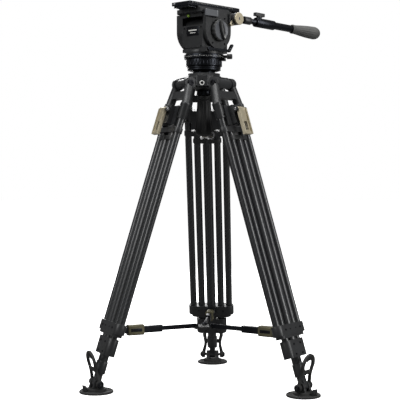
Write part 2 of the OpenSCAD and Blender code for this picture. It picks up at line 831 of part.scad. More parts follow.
module cradle_arm(x, w) {
    translate([x, tilt_y, tilt_z])
        rotate([90, 0, 90])
            linear_extrude(w)
                difference() {
                    union() {
                        circle(cradle_r);
                        translate([-cradle_r, 0]) square([2 * cradle_r, seat_z - tilt_z + EPS]);
                    }
                    circle(axle_r + FIT);
                }
}

module seat_channel(clearance, h) {
    low = dovetail_low_w / 2 + clearance;
    high = dovetail_high_w / 2 + clearance;
    rotate([90, 0, 0])
        linear_extrude(400, center = true)
            polygon([[-low, 0], [low, 0], [high, h], [-high, h]]);
}

module tilt_cradle() color("#2a2b2e") {
    difference() {
        union() {
            cradle_arm(arm_x, arm_w);
            cradle_arm(-left_end_x, left_arm_w);
            translate([-seat_half_w - 5, seat_y0 + 6, seat_z])
                cube([2 * seat_half_w + 10, seat_len - 12, 5]);
            translate([-seat_half_w, seat_y0, seat_z + 2]) cube([2 * seat_half_w, seat_len, seat_h - 2]);
            translate([-rail_half_w, seat_y0, seat_z + seat_h - EPS])
                cube([2 * rail_half_w, seat_len, dovetail_h + EPS]);
            translate([-body_half_w, body_front_y - 2, seat_z - 9]) cube([2 * body_half_w, 5, 10]);
            translate([0, rosette_y, rosette_z]) x_cylinder(rosette_r, arm_x, rosette_x - arm_x);
            translate([arm_x, rosette_y - 25, rosette_z - 12]) cube([rosette_x - arm_x - 1, 25, 24]);
            translate([lock_x - 8, lock_y - 6, seat_z + 8.5]) cube([14, 12, 3.5]);
            translate([lock_x, lock_y, lock_z]) cylinder(r = lock_pin_r, h = seat_z + 10 - lock_z);
        }
        translate([0, 0, plate_z - GAP]) seat_channel(GAP, dovetail_h + 1);
        translate([0, rosette_y, rosette_z]) x_cylinder(rosette_screw_r + FIT, arm_x + 5, 40);
        difference() {
            translate([lock_x, lock_y, lock_z - 1])
                cylinder(r = lock_hub_r + 1, h = seat_z + 8.5 - lock_z + 1);
            translate([lock_x, lock_y, lock_z - 2]) cylinder(r = lock_pin_r, h = 40);
        }
        translate([seat_half_w + 1, lock_y - 62, seat_z - 12]) cube([20, 62, 20.5]);
        translate(bubble_at) y_cylinder(bubble_r + EPS, 5);
    }
}

module bubble_level() color("#8aa05a") {
    translate(bubble_at) y_cylinder(bubble_r, 5);
}

module plate_lock_lever() color("#77787c") translate([lock_x, lock_y, lock_z]) {
    difference() {
        union() {
            cylinder(r = lock_hub_r, h = lock_h);
            translate([-0.5, -lock_paddle_len, 0]) cube([6, lock_paddle_len, lock_h]);
        }
        translate([0, 0, -1]) cylinder(r = lock_pin_r + FIT, h = lock_h + 2);
    }
}

// ---------- camera plate ----------

module plate_slot(y, r) {
    for (dy = [-1, 1])
        translate([0, y + dy * (slot_half_travel + 3), plate_z - 1]) cylinder(r = r, h = 40);
    translate([-r, y - slot_half_travel - 3, plate_z - 1]) cube([2 * r, 2 * slot_half_travel + 6, 40]);
}

module sliding_plate() color("#3b3c40") {
    difference() {
        union() {
            translate([-plate_w / 2, plate_y0, slab_z - EPS]) cube([plate_w, plate_len, slab_t + EPS]);
            intersection() {
                translate([0, 0, plate_z]) seat_channel(0, dovetail_h + GAP);
                translate([-plate_w / 2, plate_y0 + 3, plate_z])
                    cube([plate_w, plate_len - 6, dovetail_h + GAP]);
            }
        }
        plate_slot(small_slot_y, screw_small_r + slot_play);
        plate_slot(large_slot_y, screw_large_r + slot_play);
        translate([-screw_head_r - 1, plate_y0 + 12, plate_z - 1])
            cube([2 * screw_head_r + 2, plate_len - 24, groove_h + 1]);
        translate([catch_x, plate_y0, slab_z + slab_t / 2])
            rotate([-90, 0, 0]) cylinder(r = catch_r + FIT, h = 14);
    }
}

module camera_screw(y, r) {
    translate([0, y, plate_z + groove_h - screw_head_h - GAP]) cylinder(r = screw_head_r, h = screw_head_h);
    translate([0, y, plate_z + groove_h - 1])
        cylinder(r = r - neck_inset, h = plate_top - plate_z - groove_h + 1 + EPS);
    translate([0, y, plate_top]) cylinder(r = r, h = screw_h);
}

module camera_screws() color("#9a9a9c") {
    camera_screw(small_slot_y, screw_small_r);
    camera_screw(large_slot_y, screw_large_r);
}

module plate_catch_button() color("#b9b9bb") translate([catch_x, plate_y0 - 4, slab_z + slab_t / 2]) {
    rotate([-90, 0, 0]) cylinder(r = catch_r, h = 13);
}

// ---------- pan bar ----------

module rosette_arm() color("#2a2b2e") {
    difference() {
        union() {
            translate([0, rosette_y, rosette_z]) x_cylinder(rosette_r, rosette_x + GAP, rosette_w);
            translate([rosette_x + GAP, rosette_y, rosette_z - 9]) cube([rosette_w, 24, 18]);
            along_bar() translate([0, 0, rod_start]) cylinder(r = rod_r + 3, h = 22);
        }
        translate([0, rosette_y, rosette_z]) x_cylinder(rosette_screw_r + FIT, rosette_x, 30);
        along_bar() translate([0, 0, rod_start + 2]) cylinder(r = rod_r + FIT, h = 60);
    }
}

module rosette_screw() color("#b89c78") translate([0, rosette_y, rosette_z]) {
    face_x = rosette_x + GAP + rosette_w + GAP;
    x_cylinder(rosette_screw_r, rosette_x - 6, face_x - rosette_x + 7);
    difference() {
        x_cylinder(rosette_r, face_x, 5);
        x_cylinder(3.5, face_x + 2, 5);
    }
}

module pan_bar_rod() color("#3a3b3e")
    along_bar() translate([0, 0, rod_start + 2]) cylinder(r = rod_r, h = rod_end - rod_start - 2);

module pan_bar_tube() color("#2a2b2e") along_bar() {
    difference() {
        union() {
            translate([0, 0, clamp_start]) cylinder(r = clamp_r, h = clamp_len);
            translate([0, -clamp_r - knob_rise + GAP, bar_knob_u])
                rotate([90, 0, 0])
                    translate([0, 0, -6]) cylinder(r = bar_boss_r, h = 6);
            translate([0, 0, clamp_start + 2])
                cylinder(r = bar_tube_r, h = grip_start + grip_len - 16 - clamp_start);
        }
        translate([0, 0, clamp_start - 1]) cylinder(r = rod_r + FIT, h = grip_start - clamp_start + 1);
        translate([0, -clamp_r - 20, bar_knob_u])
            rotate([-90, 0, 0]) cylinder(r = bar_knob_pin_r + FIT, h = 24);
    }
}

// The wing knob presses on the rod from above.
module pan_bar_clamp_knob() color("#1f2022") along_bar()
    translate([0, -clamp_r - knob_rise, bar_knob_u]) rotate([90, 0, 0]) {
        translate([0, 0, -5]) cylinder(r = bar_knob_pin_r, h = 7);
        cylinder(r = bar_boss_r, h = 4);
        rotate([0, 0, 90])
            translate([-wing_len / 2, -wing_w / 2, 3]) cube([wing_len, wing_w, wing_h]);
    }

module pan_bar_grip() color("#1d1e20") along_bar() translate([0, 0, grip_start]) {
    difference() {
        rotate_extrude()
            polygon(concat(
                [[0, 0], [grip_r0 - 1, 0], [grip_r0, 1.5]],
                [for (a = [0:15:90]) [grip_r0 + (grip_r1 - grip_r0) * sin(a), 5 + (grip_len - 35) * a / 90]],
                [for (a = [0:15:90]) [grip_r1 * cos(a), grip_len - 20 + 20 * sin(a)]]));
        translate([0, 0, -1]) cylinder(r = bar_tube_r + FIT, h = grip_len - 13);
    }
}

crown();
hinge_bolts();
half_ball();
clamp_washer();
tie_down_handle();
spreader_hub();
pan_base();
pan_drag_ring();
pan_lock_knob();
head_body();
tilt_lock_lever();
tilt_drag_dial();
tilt_cradle();
bubble_level();
plate_lock_lever();
sliding_plate();
camera_screws();
plate_catch_button();
rosette_arm();
rosette_screw();
pan_bar_rod();
pan_bar_tube();
pan_bar_clamp_knob();
pan_bar_grip();
for (i = [0:2]) {
    leg = LEGS[i];
    yoke(i);
    outer_tubes(i);
    lower_bracket(i);
    inner_tubes(i);
    mid_brackets(i);
    centre_tube(i);
    ankle_socket(i);
    flip_lever(i);
    foot(i);
    foot_strap(i);
    spreader_arm(i);
    spreader_blade(i);
}
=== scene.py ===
# Video tripod with a fluid head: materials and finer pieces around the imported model.
import json
import math
import bmesh
import bpy
from mathutils import Matrix, Vector


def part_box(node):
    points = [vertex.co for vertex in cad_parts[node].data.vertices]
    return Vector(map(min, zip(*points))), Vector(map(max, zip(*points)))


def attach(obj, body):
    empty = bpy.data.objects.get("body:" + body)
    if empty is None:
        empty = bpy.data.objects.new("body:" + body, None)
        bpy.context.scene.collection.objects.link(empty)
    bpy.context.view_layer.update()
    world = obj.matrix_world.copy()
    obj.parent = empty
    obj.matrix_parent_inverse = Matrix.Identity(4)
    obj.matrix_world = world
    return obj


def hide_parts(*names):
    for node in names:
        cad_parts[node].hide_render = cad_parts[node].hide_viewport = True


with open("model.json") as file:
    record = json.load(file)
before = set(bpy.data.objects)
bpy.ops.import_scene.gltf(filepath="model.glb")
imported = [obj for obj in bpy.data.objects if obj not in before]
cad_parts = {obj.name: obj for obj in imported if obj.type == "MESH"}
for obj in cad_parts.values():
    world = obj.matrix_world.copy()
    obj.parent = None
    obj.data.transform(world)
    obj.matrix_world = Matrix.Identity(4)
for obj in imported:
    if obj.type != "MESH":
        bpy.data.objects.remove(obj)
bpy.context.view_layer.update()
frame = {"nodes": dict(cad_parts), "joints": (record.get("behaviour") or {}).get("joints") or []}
nodes = frame["nodes"]
joints = {joint["name"]: joint for joint in frame["joints"]}
legNames = ["right", "rear", "front"]
mm = 0.001  # sizes below are in millimetres; finished meshes are in metres

studio = {
    "cameraPlace": (1.989, -2.149, 0.580),
    "cameraTurn": 43.0,
    "cameraDip": 1.55,
    "lens": 96.5,
    "sensor": 36.0,
    "floorSize": 30.0,
    "floorDrop": 0.0003,
    "airSeen": 1.0,
    "airOnObject": 0.22,
    "floorLift": 0.82,
}
softboxes = [
    # name, place, size, watts
    ("keySoftbox", (-0.4, -3.2, 2.6), (1.6, 2.4), 74),
    ("edgeSoftbox", (3.0, 1.0, 1.5), (0.8, 2.6), 70),
    ("backSoftbox", (-2.2, 1.8, 1.8), (0.8, 2.4), 60),
    ("topSoftbox", (0.3, -0.3, 3.4), (2.4, 2.4), 110),
]


def addToScene(thing):
    bpy.context.scene.collection.objects.link(thing)
    return thing


def makeCamera():
    data = bpy.data.cameras.new("studioCamera")
    data.lens = studio["lens"]
    data.sensor_width = studio["sensor"]
    camera = addToScene(bpy.data.objects.new("studioCamera", data))
    camera.location = studio["cameraPlace"]
    camera.rotation_euler = (math.radians(90 - studio["cameraDip"]), 0, math.radians(studio["cameraTurn"]))
    bpy.context.scene.camera = camera


def makeLights():
    target = Vector((0, 0, 0.55))
    for name, place, size, watts in softboxes:
        data = bpy.data.lights.new(name, "AREA")
        data.shape = "RECTANGLE"
        data.size, data.size_y = size
        data.energy = watts
        lamp = addToScene(bpy.data.objects.new(name, data))
        lamp.location = place
        lamp.rotation_euler = (target - Vector(place)).to_track_quat("-Z", "Y").to_euler()
    # The backdrop is seen white, but puts less light on the object.
    world = bpy.data.worlds.new("studioAir")
    world.use_nodes = True
    air = world.node_tree
    seen = addNode(air, "LightPath").outputs["Is Camera Ray"]
    strength = addNode(air, "MapRange", {"To Min": studio["airOnObject"], "To Max": studio["airSeen"]},
                       {"Value": seen})
    air.nodes["Background"].inputs["Color"].default_value = (1, 1, 1, 1)
    air.links.new(strength.outputs["Result"], air.nodes["Background"].inputs["Strength"])
    bpy.context.scene.world = world
    bpy.context.scene.view_settings.view_transform = "Standard"


def toLinear(colour):
    parts = [int(colour[k:k + 2], 16) / 255 for k in (1, 3, 5)]
    return [c / 12.92 if c <= 0.04045 else ((c + 0.055) / 1.055) ** 2.4 for c in parts] + [1.0]


def addNode(tree, kind, settings=None, links=None):
    node = tree.nodes.new("ShaderNode" + kind)
    for name, value in (settings or {}).items():
        if isinstance(name, int) or name in node.inputs:
            node.inputs[name].default_value = value
        else:
            setattr(node, name, value)
    for name, source in (links or {}).items():
        tree.links.new(source, node.inputs[name])
    return node


def newMaterial(name, **sockets):
    material = bpy.data.materials.new(name)
    material.use_nodes = True
    tree = material.node_tree
    shader = tree.nodes["Principled BSDF"]
    for socket, value in sockets.items():
        shader.inputs[socket.replace("_", " ")].default_value = value
    return material, tree, shader


def between(tree, factor, low, high, start=0.0, end=1.0):
    # A colour ramp from low to high as the factor goes from start to end.
    ramp = addNode(tree, "ValToRGB", None, {"Fac": factor})
    ramp.color_ramp.elements[0].position = start
    ramp.color_ramp.elements[1].position = end
    ramp.color_ramp.elements[0].color = toLinear(low)
    ramp.color_ramp.elements[1].color = toLinear(high)
    return ramp.outputs["Color"]


def rubbedEdges(tree, width):
    # 0 on flats, up to 1 along edges within the width, from how a rounded normal leaves the true one.
    rounded = addNode(tree, "Bevel", {"samples": 6, "Radius": width * mm})
    surface = addNode(tree, "NewGeometry")
    agree = addNode(tree, "VectorMath", {"operation": "DOT_PRODUCT"},
                    {0: rounded.outputs["Normal"], 1: surface.outputs["Normal"]})
    return addNode(tree, "MapRange", {"From Min": 0.985, "From Max": 0.8},
                   {"Value": agree.outputs["Value"]}).outputs["Result"]


def layOver(tree, factor, under, over):
    # The under colour, covered by the over colour where the factor is 1.
    mix = addNode(tree, "MixRGB", None, {"Fac": factor, "Color1": under})
    mix.inputs["Color2"].default_value = toLinear(over)
    return mix.outputs["Color"]


def coated(name, look, metallic=0.0):
    # A coated or moulded surface: two tones in broad patches, grain in the gloss, paler rubbed edges and
    # a fine bump.
    material, tree, shader = newMaterial(name, Metallic=metallic)
    where = addNode(tree, "TexCoord").outputs["Object"]
    patches = addNode(tree, "TexNoise", {"Scale": 1000 / look["patchMm"], "Detail": 4.0}, {"Vector": where})
    grain = addNode(tree, "TexNoise", {"Scale": 1000 / look["grainMm"], "Detail": 3.0}, {"Vector": where})
    scuffs = addNode(tree, "TexNoise", {"Scale": 1000 / look["scuffMm"], "Detail": 6.0, "Roughness": 0.7},
                     {"Vector": where})
    colour = between(tree, patches.outputs["Fac"], look["dark"], look["light"], 0.3, 0.7)
    edges = rubbedEdges(tree, look["rubMm"])
    rub = addNode(tree, "Math", {"operation": "MULTIPLY"}, {0: edges, 1: scuffs.outputs["Fac"]})
    tree.links.new(layOver(tree, rub.outputs["Value"], colour, look["rubbed"]), shader.inputs["Base Color"])
    gloss = addNode(tree, "MapRange", {"From Min": 0.3, "From Max": 0.7,
                                       "To Min": look["rough"] - look["roughVary"],
                                       "To Max": look["rough"] + look["roughVary"]},
                    {"Value": scuffs.outputs["Fac"]})
    tree.links.new(gloss.outputs["Result"], shader.inputs["Roughness"])
    bump = addNode(tree, "Bump", {"Strength": look["bump"], "Distance": look["bumpMm"] * mm},
                   {"Height": grain.outputs["Fac"]})
    tree.links.new(bump.outputs["Normal"], shader.inputs["Normal"])
    return material


# Cast aluminium under a satin powder coat: near black, a soft sheen with faint orange peel, and greyer on
# rubbed edges.
castCoated = coated("castAluminiumPowderCoated", {
    "dark": "#131415", "light": "#1c1d1f", "rubbed": "#54565a", "patchMm": 45, "grainMm": 1.6, "scuffMm": 9,
    "rubMm": 1.0, "rough": 0.42, "roughVary": 0.07, "bump": 0.25, "bumpMm": 0.15})
# Machined aluminium, black anodised: a darker, tighter metal sheen, with grey where the dye has worn off
# an edge.
blackAnodised = coated("machinedAluminiumBlackAnodised", {
    "dark": "#232427", "light": "#2e3034", "rubbed": "#8a8c90", "patchMm": 30, "grainMm": 0.8, "scuffMm": 6,
    "rubMm": 0.5, "rough": 0.36, "roughVary": 0.06, "bump": 0.12, "bumpMm": 0.05}, metallic=1.0)
# Moulded nylon with a spark-eroded texture: matt charcoal, with a fine even grain.
mouldedNylon = coated("mouldedNylonTextured", {
    "dark": "#0f1011", "light": "#161718", "rubbed": "#3b3c3e", "patchMm": 25, "grainMm": 0.9, "scuffMm": 5,
    "rubMm": 0.6, "rough": 0.55, "roughVary": 0.06, "bump": 0.35, "bumpMm": 0.12})
# Moulded natural rubber: matt black with a dusty bloom in patches, no metal in the highlight.
mouldedRubber = coated("mouldedRubber", {
    "dark": "#0e0e0e", "light": "#1a1a19", "rubbed": "#383734", "patchMm": 14, "grainMm": 1.2, "scuffMm": 4,
    "rubMm": 1.2, "rough": 0.78, "roughVary": 0.1, "bump": 0.4, "bumpMm": 0.15})
# Bead-blasted aluminium, champagne anodised: a pale warm metal with a soft, even, sandy sheen.
champagneAnodised = coated("blastedAluminiumChampagneAnodised", {
    "dark": "#a89f88", "light": "#b8af99", "rubbed": "#dcd5c4", "patchMm": 20, "grainMm": 0.7, "scuffMm": 4,
    "rubMm": 0.6, "rough": 0.48, "roughVary": 0.06, "bump": 0.3, "bumpMm": 0.06}, metallic=0.75)
# Bead-blasted aluminium, olive-tan anodised: duller and darker than the champagne.
oliveAnodised = coated("blastedAluminiumOliveAnodised", {
    "dark": "#565240", "light": "#646049", "rubbed": "#a39c85", "patchMm": 20, "grainMm": 0.7, "scuffMm": 4,
    "rubMm": 0.6, "rough": 0.5, "roughVary": 0.06, "bump": 0.3, "bumpMm": 0.06}, metallic=0.6)
# Moulded ABS in mid grey: even, a little glossier than nylon. On the tilt dial's face ring the same grey is a
# painted highlight.
greyAbsAndPaintedHighlight = coated("mouldedAbsGreyAndPaintedHighlight", {
    "dark": "#4a4c50", "light": "#55575b", "rubbed": "#8e9094", "patchMm": 25, "grainMm": 0.8, "scuffMm": 6,
    "rubMm": 0.5, "rough": 0.4, "roughVary": 0.05, "bump": 0.2, "bumpMm": 0.06})
# Screen-printed ink: flat off-white with small breaks where it has rubbed.
whiteInk = coated("screenPrintedInk", {
    "dark": "#d6d6d2", "light": "#ecece8", "rubbed": "#8c8c8a", "patchMm": 6, "grainMm": 0.6, "scuffMm": 1.5,
    "rubMm": 0.3, "rough": 0.6, "roughVary": 0.05, "bump": 0.2, "bumpMm": 0.03})
# Moulded rubber for the grip: the same rubber as the feet, greyer with handling.
gripRubber = coated("mouldedRubberGrip", {
    "dark": "#3d3d3c", "light": "#4d4d4b", "rubbed": "#686762", "patchMm": 18, "grainMm": 1.2, "scuffMm": 4,
    "rubMm": 1.2, "rough": 0.7, "roughVary": 0.08, "bump": 0.4, "bumpMm": 0.15})


def turnedMetal(name, look):
    # Metal with the fine rings that a lathe leaves round one axis of the object, and a little smudging.
    material, tree, shader = newMaterial(name, Metallic=1.0)
    where = addNode(tree, "TexCoord").outputs["Object"]
    smudge = addNode(tree, "TexNoise", {"Scale": 1000 / look["smudgeMm"], "Detail": 4.0}, {"Vector": where})
    colour = between(tree, smudge.outputs["Fac"], look["dark"], look["light"], 0.3, 0.7)
    tree.links.new(colour, shader.inputs["Base Color"])
    rings = addNode(tree, "TexWave", {"wave_type": "BANDS", "bands_direction": look["axis"],
                                      "Scale": 1000 / look["ringMm"] / 20, "Distortion": 0.4},
                    {"Vector": where})
    gloss = addNode(tree, "MapRange", {"To Min": look["rough"] - 0.06, "To Max": look["rough"] + 0.08},
                    {"Value": smudge.outputs["Fac"]})
    tree.links.new(gloss.outputs["Result"], shader.inputs["Roughness"])
    bump = addNode(tree, "Bump", {"Strength": 0.15, "Distance": 0.04 * mm}, {"Height": rings.outputs["Fac"]})
    tree.links.new(bump.outputs["Normal"], shader.inputs["Normal"])
    return material


# Stainless steel, turned: bright, with fine feed rings 0.6 mm apart (coarser than real, so that they show).
stainless = turnedMetal("stainlessSteelTurned", {
    "dark": "#9c9c9e", "light": "#c4c4c6", "smudgeMm": 8, "axis": "Z", "ringMm": 0.6, "rough": 0.28})
# Black-oxide steel screws: dark, oily, with a low sheen.
blackOxide = turnedMetal("blackOxideSteel", {
    "dark": "#1d1d1f", "light": "#2c2c2f", "smudgeMm": 5, "axis": "Z", "ringMm": 0.6, "rough": 0.38})
# Turned aluminium rings under black anodising: the lathe's feed lines catch the light as faint rings.
turnedAnodised = turnedMetal("turnedAluminiumBlackAnodised", {
    "dark": "#222326", "light": "#2d2f33", "smudgeMm": 35, "axis": "Z", "ringMm": 1.0, "rough": 0.34})


def carbonFibre():
    # Carbon-fibre tube, 2x2 twill under clear resin: black with a faint diagonal weave, a hard gloss over it.
    look = {"towMm": 3.0, "dark": "#0b0c0d", "light": "#1d1f22"}  # real tow is 2 mm; 3 mm so that it shows
    material, tree, shader = newMaterial("carbonFibreTwillResin", Roughness=0.36, Coat_Weight=0.3,
                                         Coat_Roughness=0.16, IOR=1.5)
    flat = addNode(tree, "SeparateXYZ", None, {"Vector": addNode(tree, "UVMap").outputs["UV"]})
    cells = []
    for axis in ("X", "Y"):
        scaled = addNode(tree, "Math", {"operation": "DIVIDE", 1: look["towMm"] * mm},
                         {0: flat.outputs[axis]})
        cells.append(addNode(tree, "Math", {"operation": "FLOOR"},
                             {0: scaled.outputs["Value"]}).outputs["Value"])
    total = addNode(tree, "Math", {"operation": "ADD"}, {0: cells[0], 1: cells[1]})
    twill = addNode(tree, "Math", {"operation": "FLOORED_MODULO", 1: 4.0}, {0: total.outputs["Value"]})
    over = addNode(tree, "Math", {"operation": "LESS_THAN", 1: 2.0}, {0: twill.outputs["Value"]})
    tree.links.new(between(tree, over.outputs["Value"], look["dark"], look["light"]),
                   shader.inputs["Base Color"])
    bump = addNode(tree, "Bump", {"Strength": 0.12, "Distance": 0.05 * mm}, {"Height": over.outputs["Value"]})
    tree.links.new(bump.outputs["Normal"], shader.inputs["Normal"])
    return material


def vialAcrylic():
    # Acrylic vial with green fluid: clear, saturated, wet gloss.
    material, tree, shader = newMaterial("acrylicVialGreenFluid", Roughness=0.05, IOR=1.49, Coat_Weight=0.6)
    where = addNode(tree, "TexCoord").outputs["Object"]
    swirl = addNode(tree, "TexNoise", {"Scale": 1000 / 4}, {"Vector": where})
    tree.links.new(between(tree, swirl.outputs["Fac"], "#7fae1e", "#a6cf3a"), shader.inputs["Base Color"])
    return material


def paperFloor():
    # Seamless paper sweep: nearly white, very slightly mottled, and lifted so that it stays as pale far away.
    material, tree, shader = newMaterial("studioPaper", Roughness=0.9, Emission_Color=(1, 1, 1, 1))
    seen = addNode(tree, "LightPath").outputs["Is Camera Ray"]
    lift = addNode(tree, "Math", {"operation": "MULTIPLY", 1: studio["floorLift"]}, {0: seen})
    tree.links.new(lift.outputs["Value"], shader.inputs["Emission Strength"])
    where = addNode(tree, "TexCoord").outputs["Object"]
    mottle = addNode(tree, "TexNoise", {"Scale": 3.0}, {"Vector": where})
    paper = between(tree, mottle.outputs["Fac"], "#f6f6f5", "#ffffff")
    # Light that the floor throws back up at the object is held down, as by black cards beside it.
    tree.links.new(addNode(tree, "MixRGB", {"Color1": toLinear("#6e6e6e")},
                           {"Fac": seen, "Color2": paper}).outputs["Color"], shader.inputs["Base Color"])
    return material


carbon = carbonFibre()
greenVial = vialAcrylic()


def makeFloor():
    grid = bmesh.new()
    bmesh.ops.create_grid(grid, x_segments=8, y_segments=8, size=studio["floorSize"] / 2)
    mesh = bpy.data.meshes.new("studioFloor")
    grid.to_mesh(mesh)
    grid.free()
    mesh.materials.append(paperFloor())
    floor = addToScene(bpy.data.objects.new("studioFloor", mesh))
    floor.location.z = -studio["floorDrop"]


def at(x=0.0, y=0.0, z=0.0):
    return Matrix.Translation((x, y, z))


def turned(degrees, axis):
    return Matrix.Rotation(math.radians(degrees), 4, axis)


def facing(place, direction):
    # A frame at the place whose Z runs along the direction.
    return Matrix.Translation(place) @ Vector(direction).to_track_quat("Z", "Y").to_matrix().to_4x4()


def ring(radius, height, steps=48, flats=0, wobble=0.0, teeth=0):
    # A closed ring of points: round, with flats, or with shallow teeth.
    points = []
    for k in range(steps):
        angle = 2 * math.pi * k / steps
        r = radius
        if flats:
            sector = 2 * math.pi / flats
            r = radius / math.cos((angle % sector) - sector / 2)
        if teeth:
            r += wobble * math.cos(teeth * angle)
        points.append(Vector((r * math.cos(angle), r * math.sin(angle), height)))
    return points


def loft(shape, rings, place=None, slot=0, closed=False, caps=True):
    # Skins a run of rings of points; closed joins the last ring to the first.
    place = place or Matrix()
    made = [[shape.verts.new(place @ point) for point in one] for one in rings]
    count = len(made[0])
    for low, high in zip(made, made[1:] + made[:1] if closed else made[1:]):
        for k in range(count):
            face = shape.faces.new((low[k], low[(k + 1) % count], high[(k + 1) % count], high[k]))
            face.material_index = slot
    if caps and not closed:
        for end in (made[0][::-1], made[-1]):
            shape.faces.new(end).material_index = slot


def lathe(shape, profile, place=None, slot=0, steps=48, closed=False):
    loft(shape, [ring(radius, height, steps) for radius, height in profile], place, slot, closed)


def block(shape, size, place=None, slot=0, edge=0.8):
    # A box, centred on the place, with rounded edges.
    made = bmesh.ops.create_cube(shape, size=1.0, matrix=(place or Matrix()) @ Matrix.Diagonal((*size, 1.0)))
    edges = list(dict.fromkeys(e for v in made["verts"] for e in v.link_edges))  # each once, in a fixed order
    faces = {f for v in made["verts"] for f in v.link_faces}
    for face in faces:
        face.material_index = slot
    if edge:
        bmesh.ops.bevel(shape, geom=edges, offset=edge, segments=2, affect="EDGES", profile=0.6,
                        material=slot)


def prism(shape, outline, depth, place=None, holes=(), slot=0, edge=0.5):
    # An outline of (x, y) points, with holes, pushed up by the depth; its outer rims are rounded.
    place = place or Matrix()
    loops = []
    for line in (outline, *holes):
        verts = [shape.verts.new(Vector((x, y, 0))) for x, y in line]
        loops.append([shape.edges.new((a, b)) for a, b in zip(verts, verts[1:] + verts[:1])])
    flat = bmesh.ops.triangle_fill(shape, edges=[e for one in loops for e in one], use_beauty=True,
                                   use_dissolve=not holes, normal=(0, 0, 1))
    faces = [g for g in flat["geom"] if isinstance(g, bmesh.types.BMFace)]
    for face in faces:
        face.material_index = slot
    lifted = bmesh.ops.extrude_face_region(shape, geom=faces, use_keep_orig=True)
    top = [g for g in lifted["geom"] if isinstance(g, bmesh.types.BMVert)]
    bmesh.ops.translate(shape, verts=top, vec=(0, 0, depth))
    bottom = list(dict.fromkeys(v for f in faces for v in f.verts))
    sides = {f for v in top for f in v.link_faces}
    for face in sides:
        face.material_index = slot
    every = top + bottom
    if edge:
        rims = []
        outer = {tuple(round(c, 4) for c in point) for point in outline}
        for e in dict.fromkeys(e for v in every for e in v.link_edges):
            flatEdge = abs(e.verts[0].co.z - e.verts[1].co.z) < 1e-6
            onRim = all((round(v.co.x, 4), round(v.co.y, 4)) in outer for v in e.verts)
            bent = len(e.link_faces) == 2 and e.calc_face_angle(0.0) > 0.5
            if flatEdge and onRim and bent:
                rims.append(e)
        made = bmesh.ops.bevel(shape, geom=rims, offset=edge, segments=2, affect="EDGES", profile=0.5,
                               material=slot)
        every = list(dict.fromkeys([v for v in every if v.is_valid] + list(made["verts"])))
    bmesh.ops.transform(shape, matrix=place, verts=every)


def sweep(shape, path, outlines, up, place=None, slot=0, closed=False):
    # Carries an outline of (side, up) points along the path; outlines is one list for every path point.
    rings = []
    count = len(path)
    for k, point in enumerate(path):
        ahead = path[(k + 1) % count] if closed or k + 1 < count else point
        behind = path[k - 1] if closed or k > 0 else point
        along = (ahead - behind).normalized()
        side = along.cross(up).normalized()
        rings.append([point + side * a + up * b for a, b in outlines[k]])
    loft(shape, rings, place, slot, closed)


def ellipseOutline(wide, high, steps=16, square=2.0):
    # An ellipse of points, squarer as the power rises.
    points = []
    for k in range(steps):
        angle = 2 * math.pi * k / steps
        c, s = math.cos(angle), math.sin(angle)
        points.append((math.copysign(abs(c) ** (2 / square), c) * wide / 2,
                       math.copysign(abs(s) ** (2 / square), s) * high / 2))
    return points


def smoothLine(points, steps):
    # More points along a curve that passes through all of these.
    line = []
    for k in range(len(points) - 1):
        a, b, c, d = points[max(k - 1, 0)], points[k], points[k + 1], points[min(k + 2, len(points) - 1)]
        for n in range(steps):
            t = n / steps
            line.append(0.5 * (2 * b + (c - a) * t + (2 * a - 5 * b + 4 * c - d) * t ** 2
                               + (3 * b - a - 3 * c + d) * t ** 3))
    return line + [points[-1]]


def stadiumOutline(halfLength, radius, steps=12):
    points = []
    for side in (1, -1):
        for k in range(steps + 1):
            angle = math.pi * k / steps + (0 if side > 0 else math.pi)
            points.append((radius * math.cos(angle), side * halfLength + radius * math.sin(angle)))
    return points


def roundedOutline(wide, high, radius, steps=5):
    points = []
    for k, (sx, sy) in enumerate(((1, 1), (-1, 1), (-1, -1), (1, -1))):
        for n in range(steps + 1):
            angle = math.pi / 2 * (k + n / steps)
            points.append((sx * (wide / 2 - radius) + radius * math.cos(angle),
                           sy * (high / 2 - radius) + radius * math.sin(angle)))
    return points


def circleOutline(radius, centre=(0.0, 0.0), steps=24):
    return [(centre[0] + radius * math.cos(2 * math.pi * k / steps),
             centre[1] + radius * math.sin(2 * math.pi * k / steps)) for k in range(steps)]


def capScrew(shape, place, radius, height, slot=0):
    # A socket-head screw: a round head with a hexagon hole, standing on the place along its Z.
    rings = [ring(radius, 0, 36), ring(radius, height - 0.4, 36), ring(radius - 0.4, height, 36),
             ring(radius * 0.5, height, 36, flats=6), ring(radius * 0.5, height * 0.35, 36, flats=6)]
    loft(shape, rings, place, slot)


def makePiece(name, shape, body, materials, replaced=(), smooth=32):
    bmesh.ops.recalc_face_normals(shape, faces=shape.faces)
    bmesh.ops.transform(shape, matrix=Matrix.Scale(mm, 4), verts=shape.verts)
    mesh = bpy.data.meshes.new(name)
    shape.to_mesh(mesh)
    shape.free()
    for material in materials:
        mesh.materials.append(material)
    for polygon in mesh.polygons:
        polygon.use_smooth = True
    mesh.set_sharp_from_angle(angle=math.radians(smooth))
    piece = addToScene(bpy.data.objects.new(name, mesh))
    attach(piece, body)
    if replaced:
        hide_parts(*replaced)
    return piece


def dressNode(name, material, round=0.8):
    # Joins the flats, rounds the sharp edges as on a casting or a deburred part, and gives the material.
    node = nodes[name]
    for place in node.material_slots:
        place.material = material
    weld = node.modifiers.new("joinFaces", "WELD")
    weld.merge_threshold = 0.00001
    flats = node.modifiers.new("joinFlats", "DECIMATE")
    flats.decimate_type = "DISSOLVE"
    flats.angle_limit = math.radians(0.5)
    bevel = node.modifiers.new("roundEdges", "BEVEL")
    bevel.width = round * mm
    bevel.segments = 2
    bevel.limit_method = "ANGLE"
    bevel.angle_limit = math.radians(32)
    bevel.use_clamp_overlap = True
    bevel.miter_outer = "MITER_ARC"
    bevel.harden_normals = False


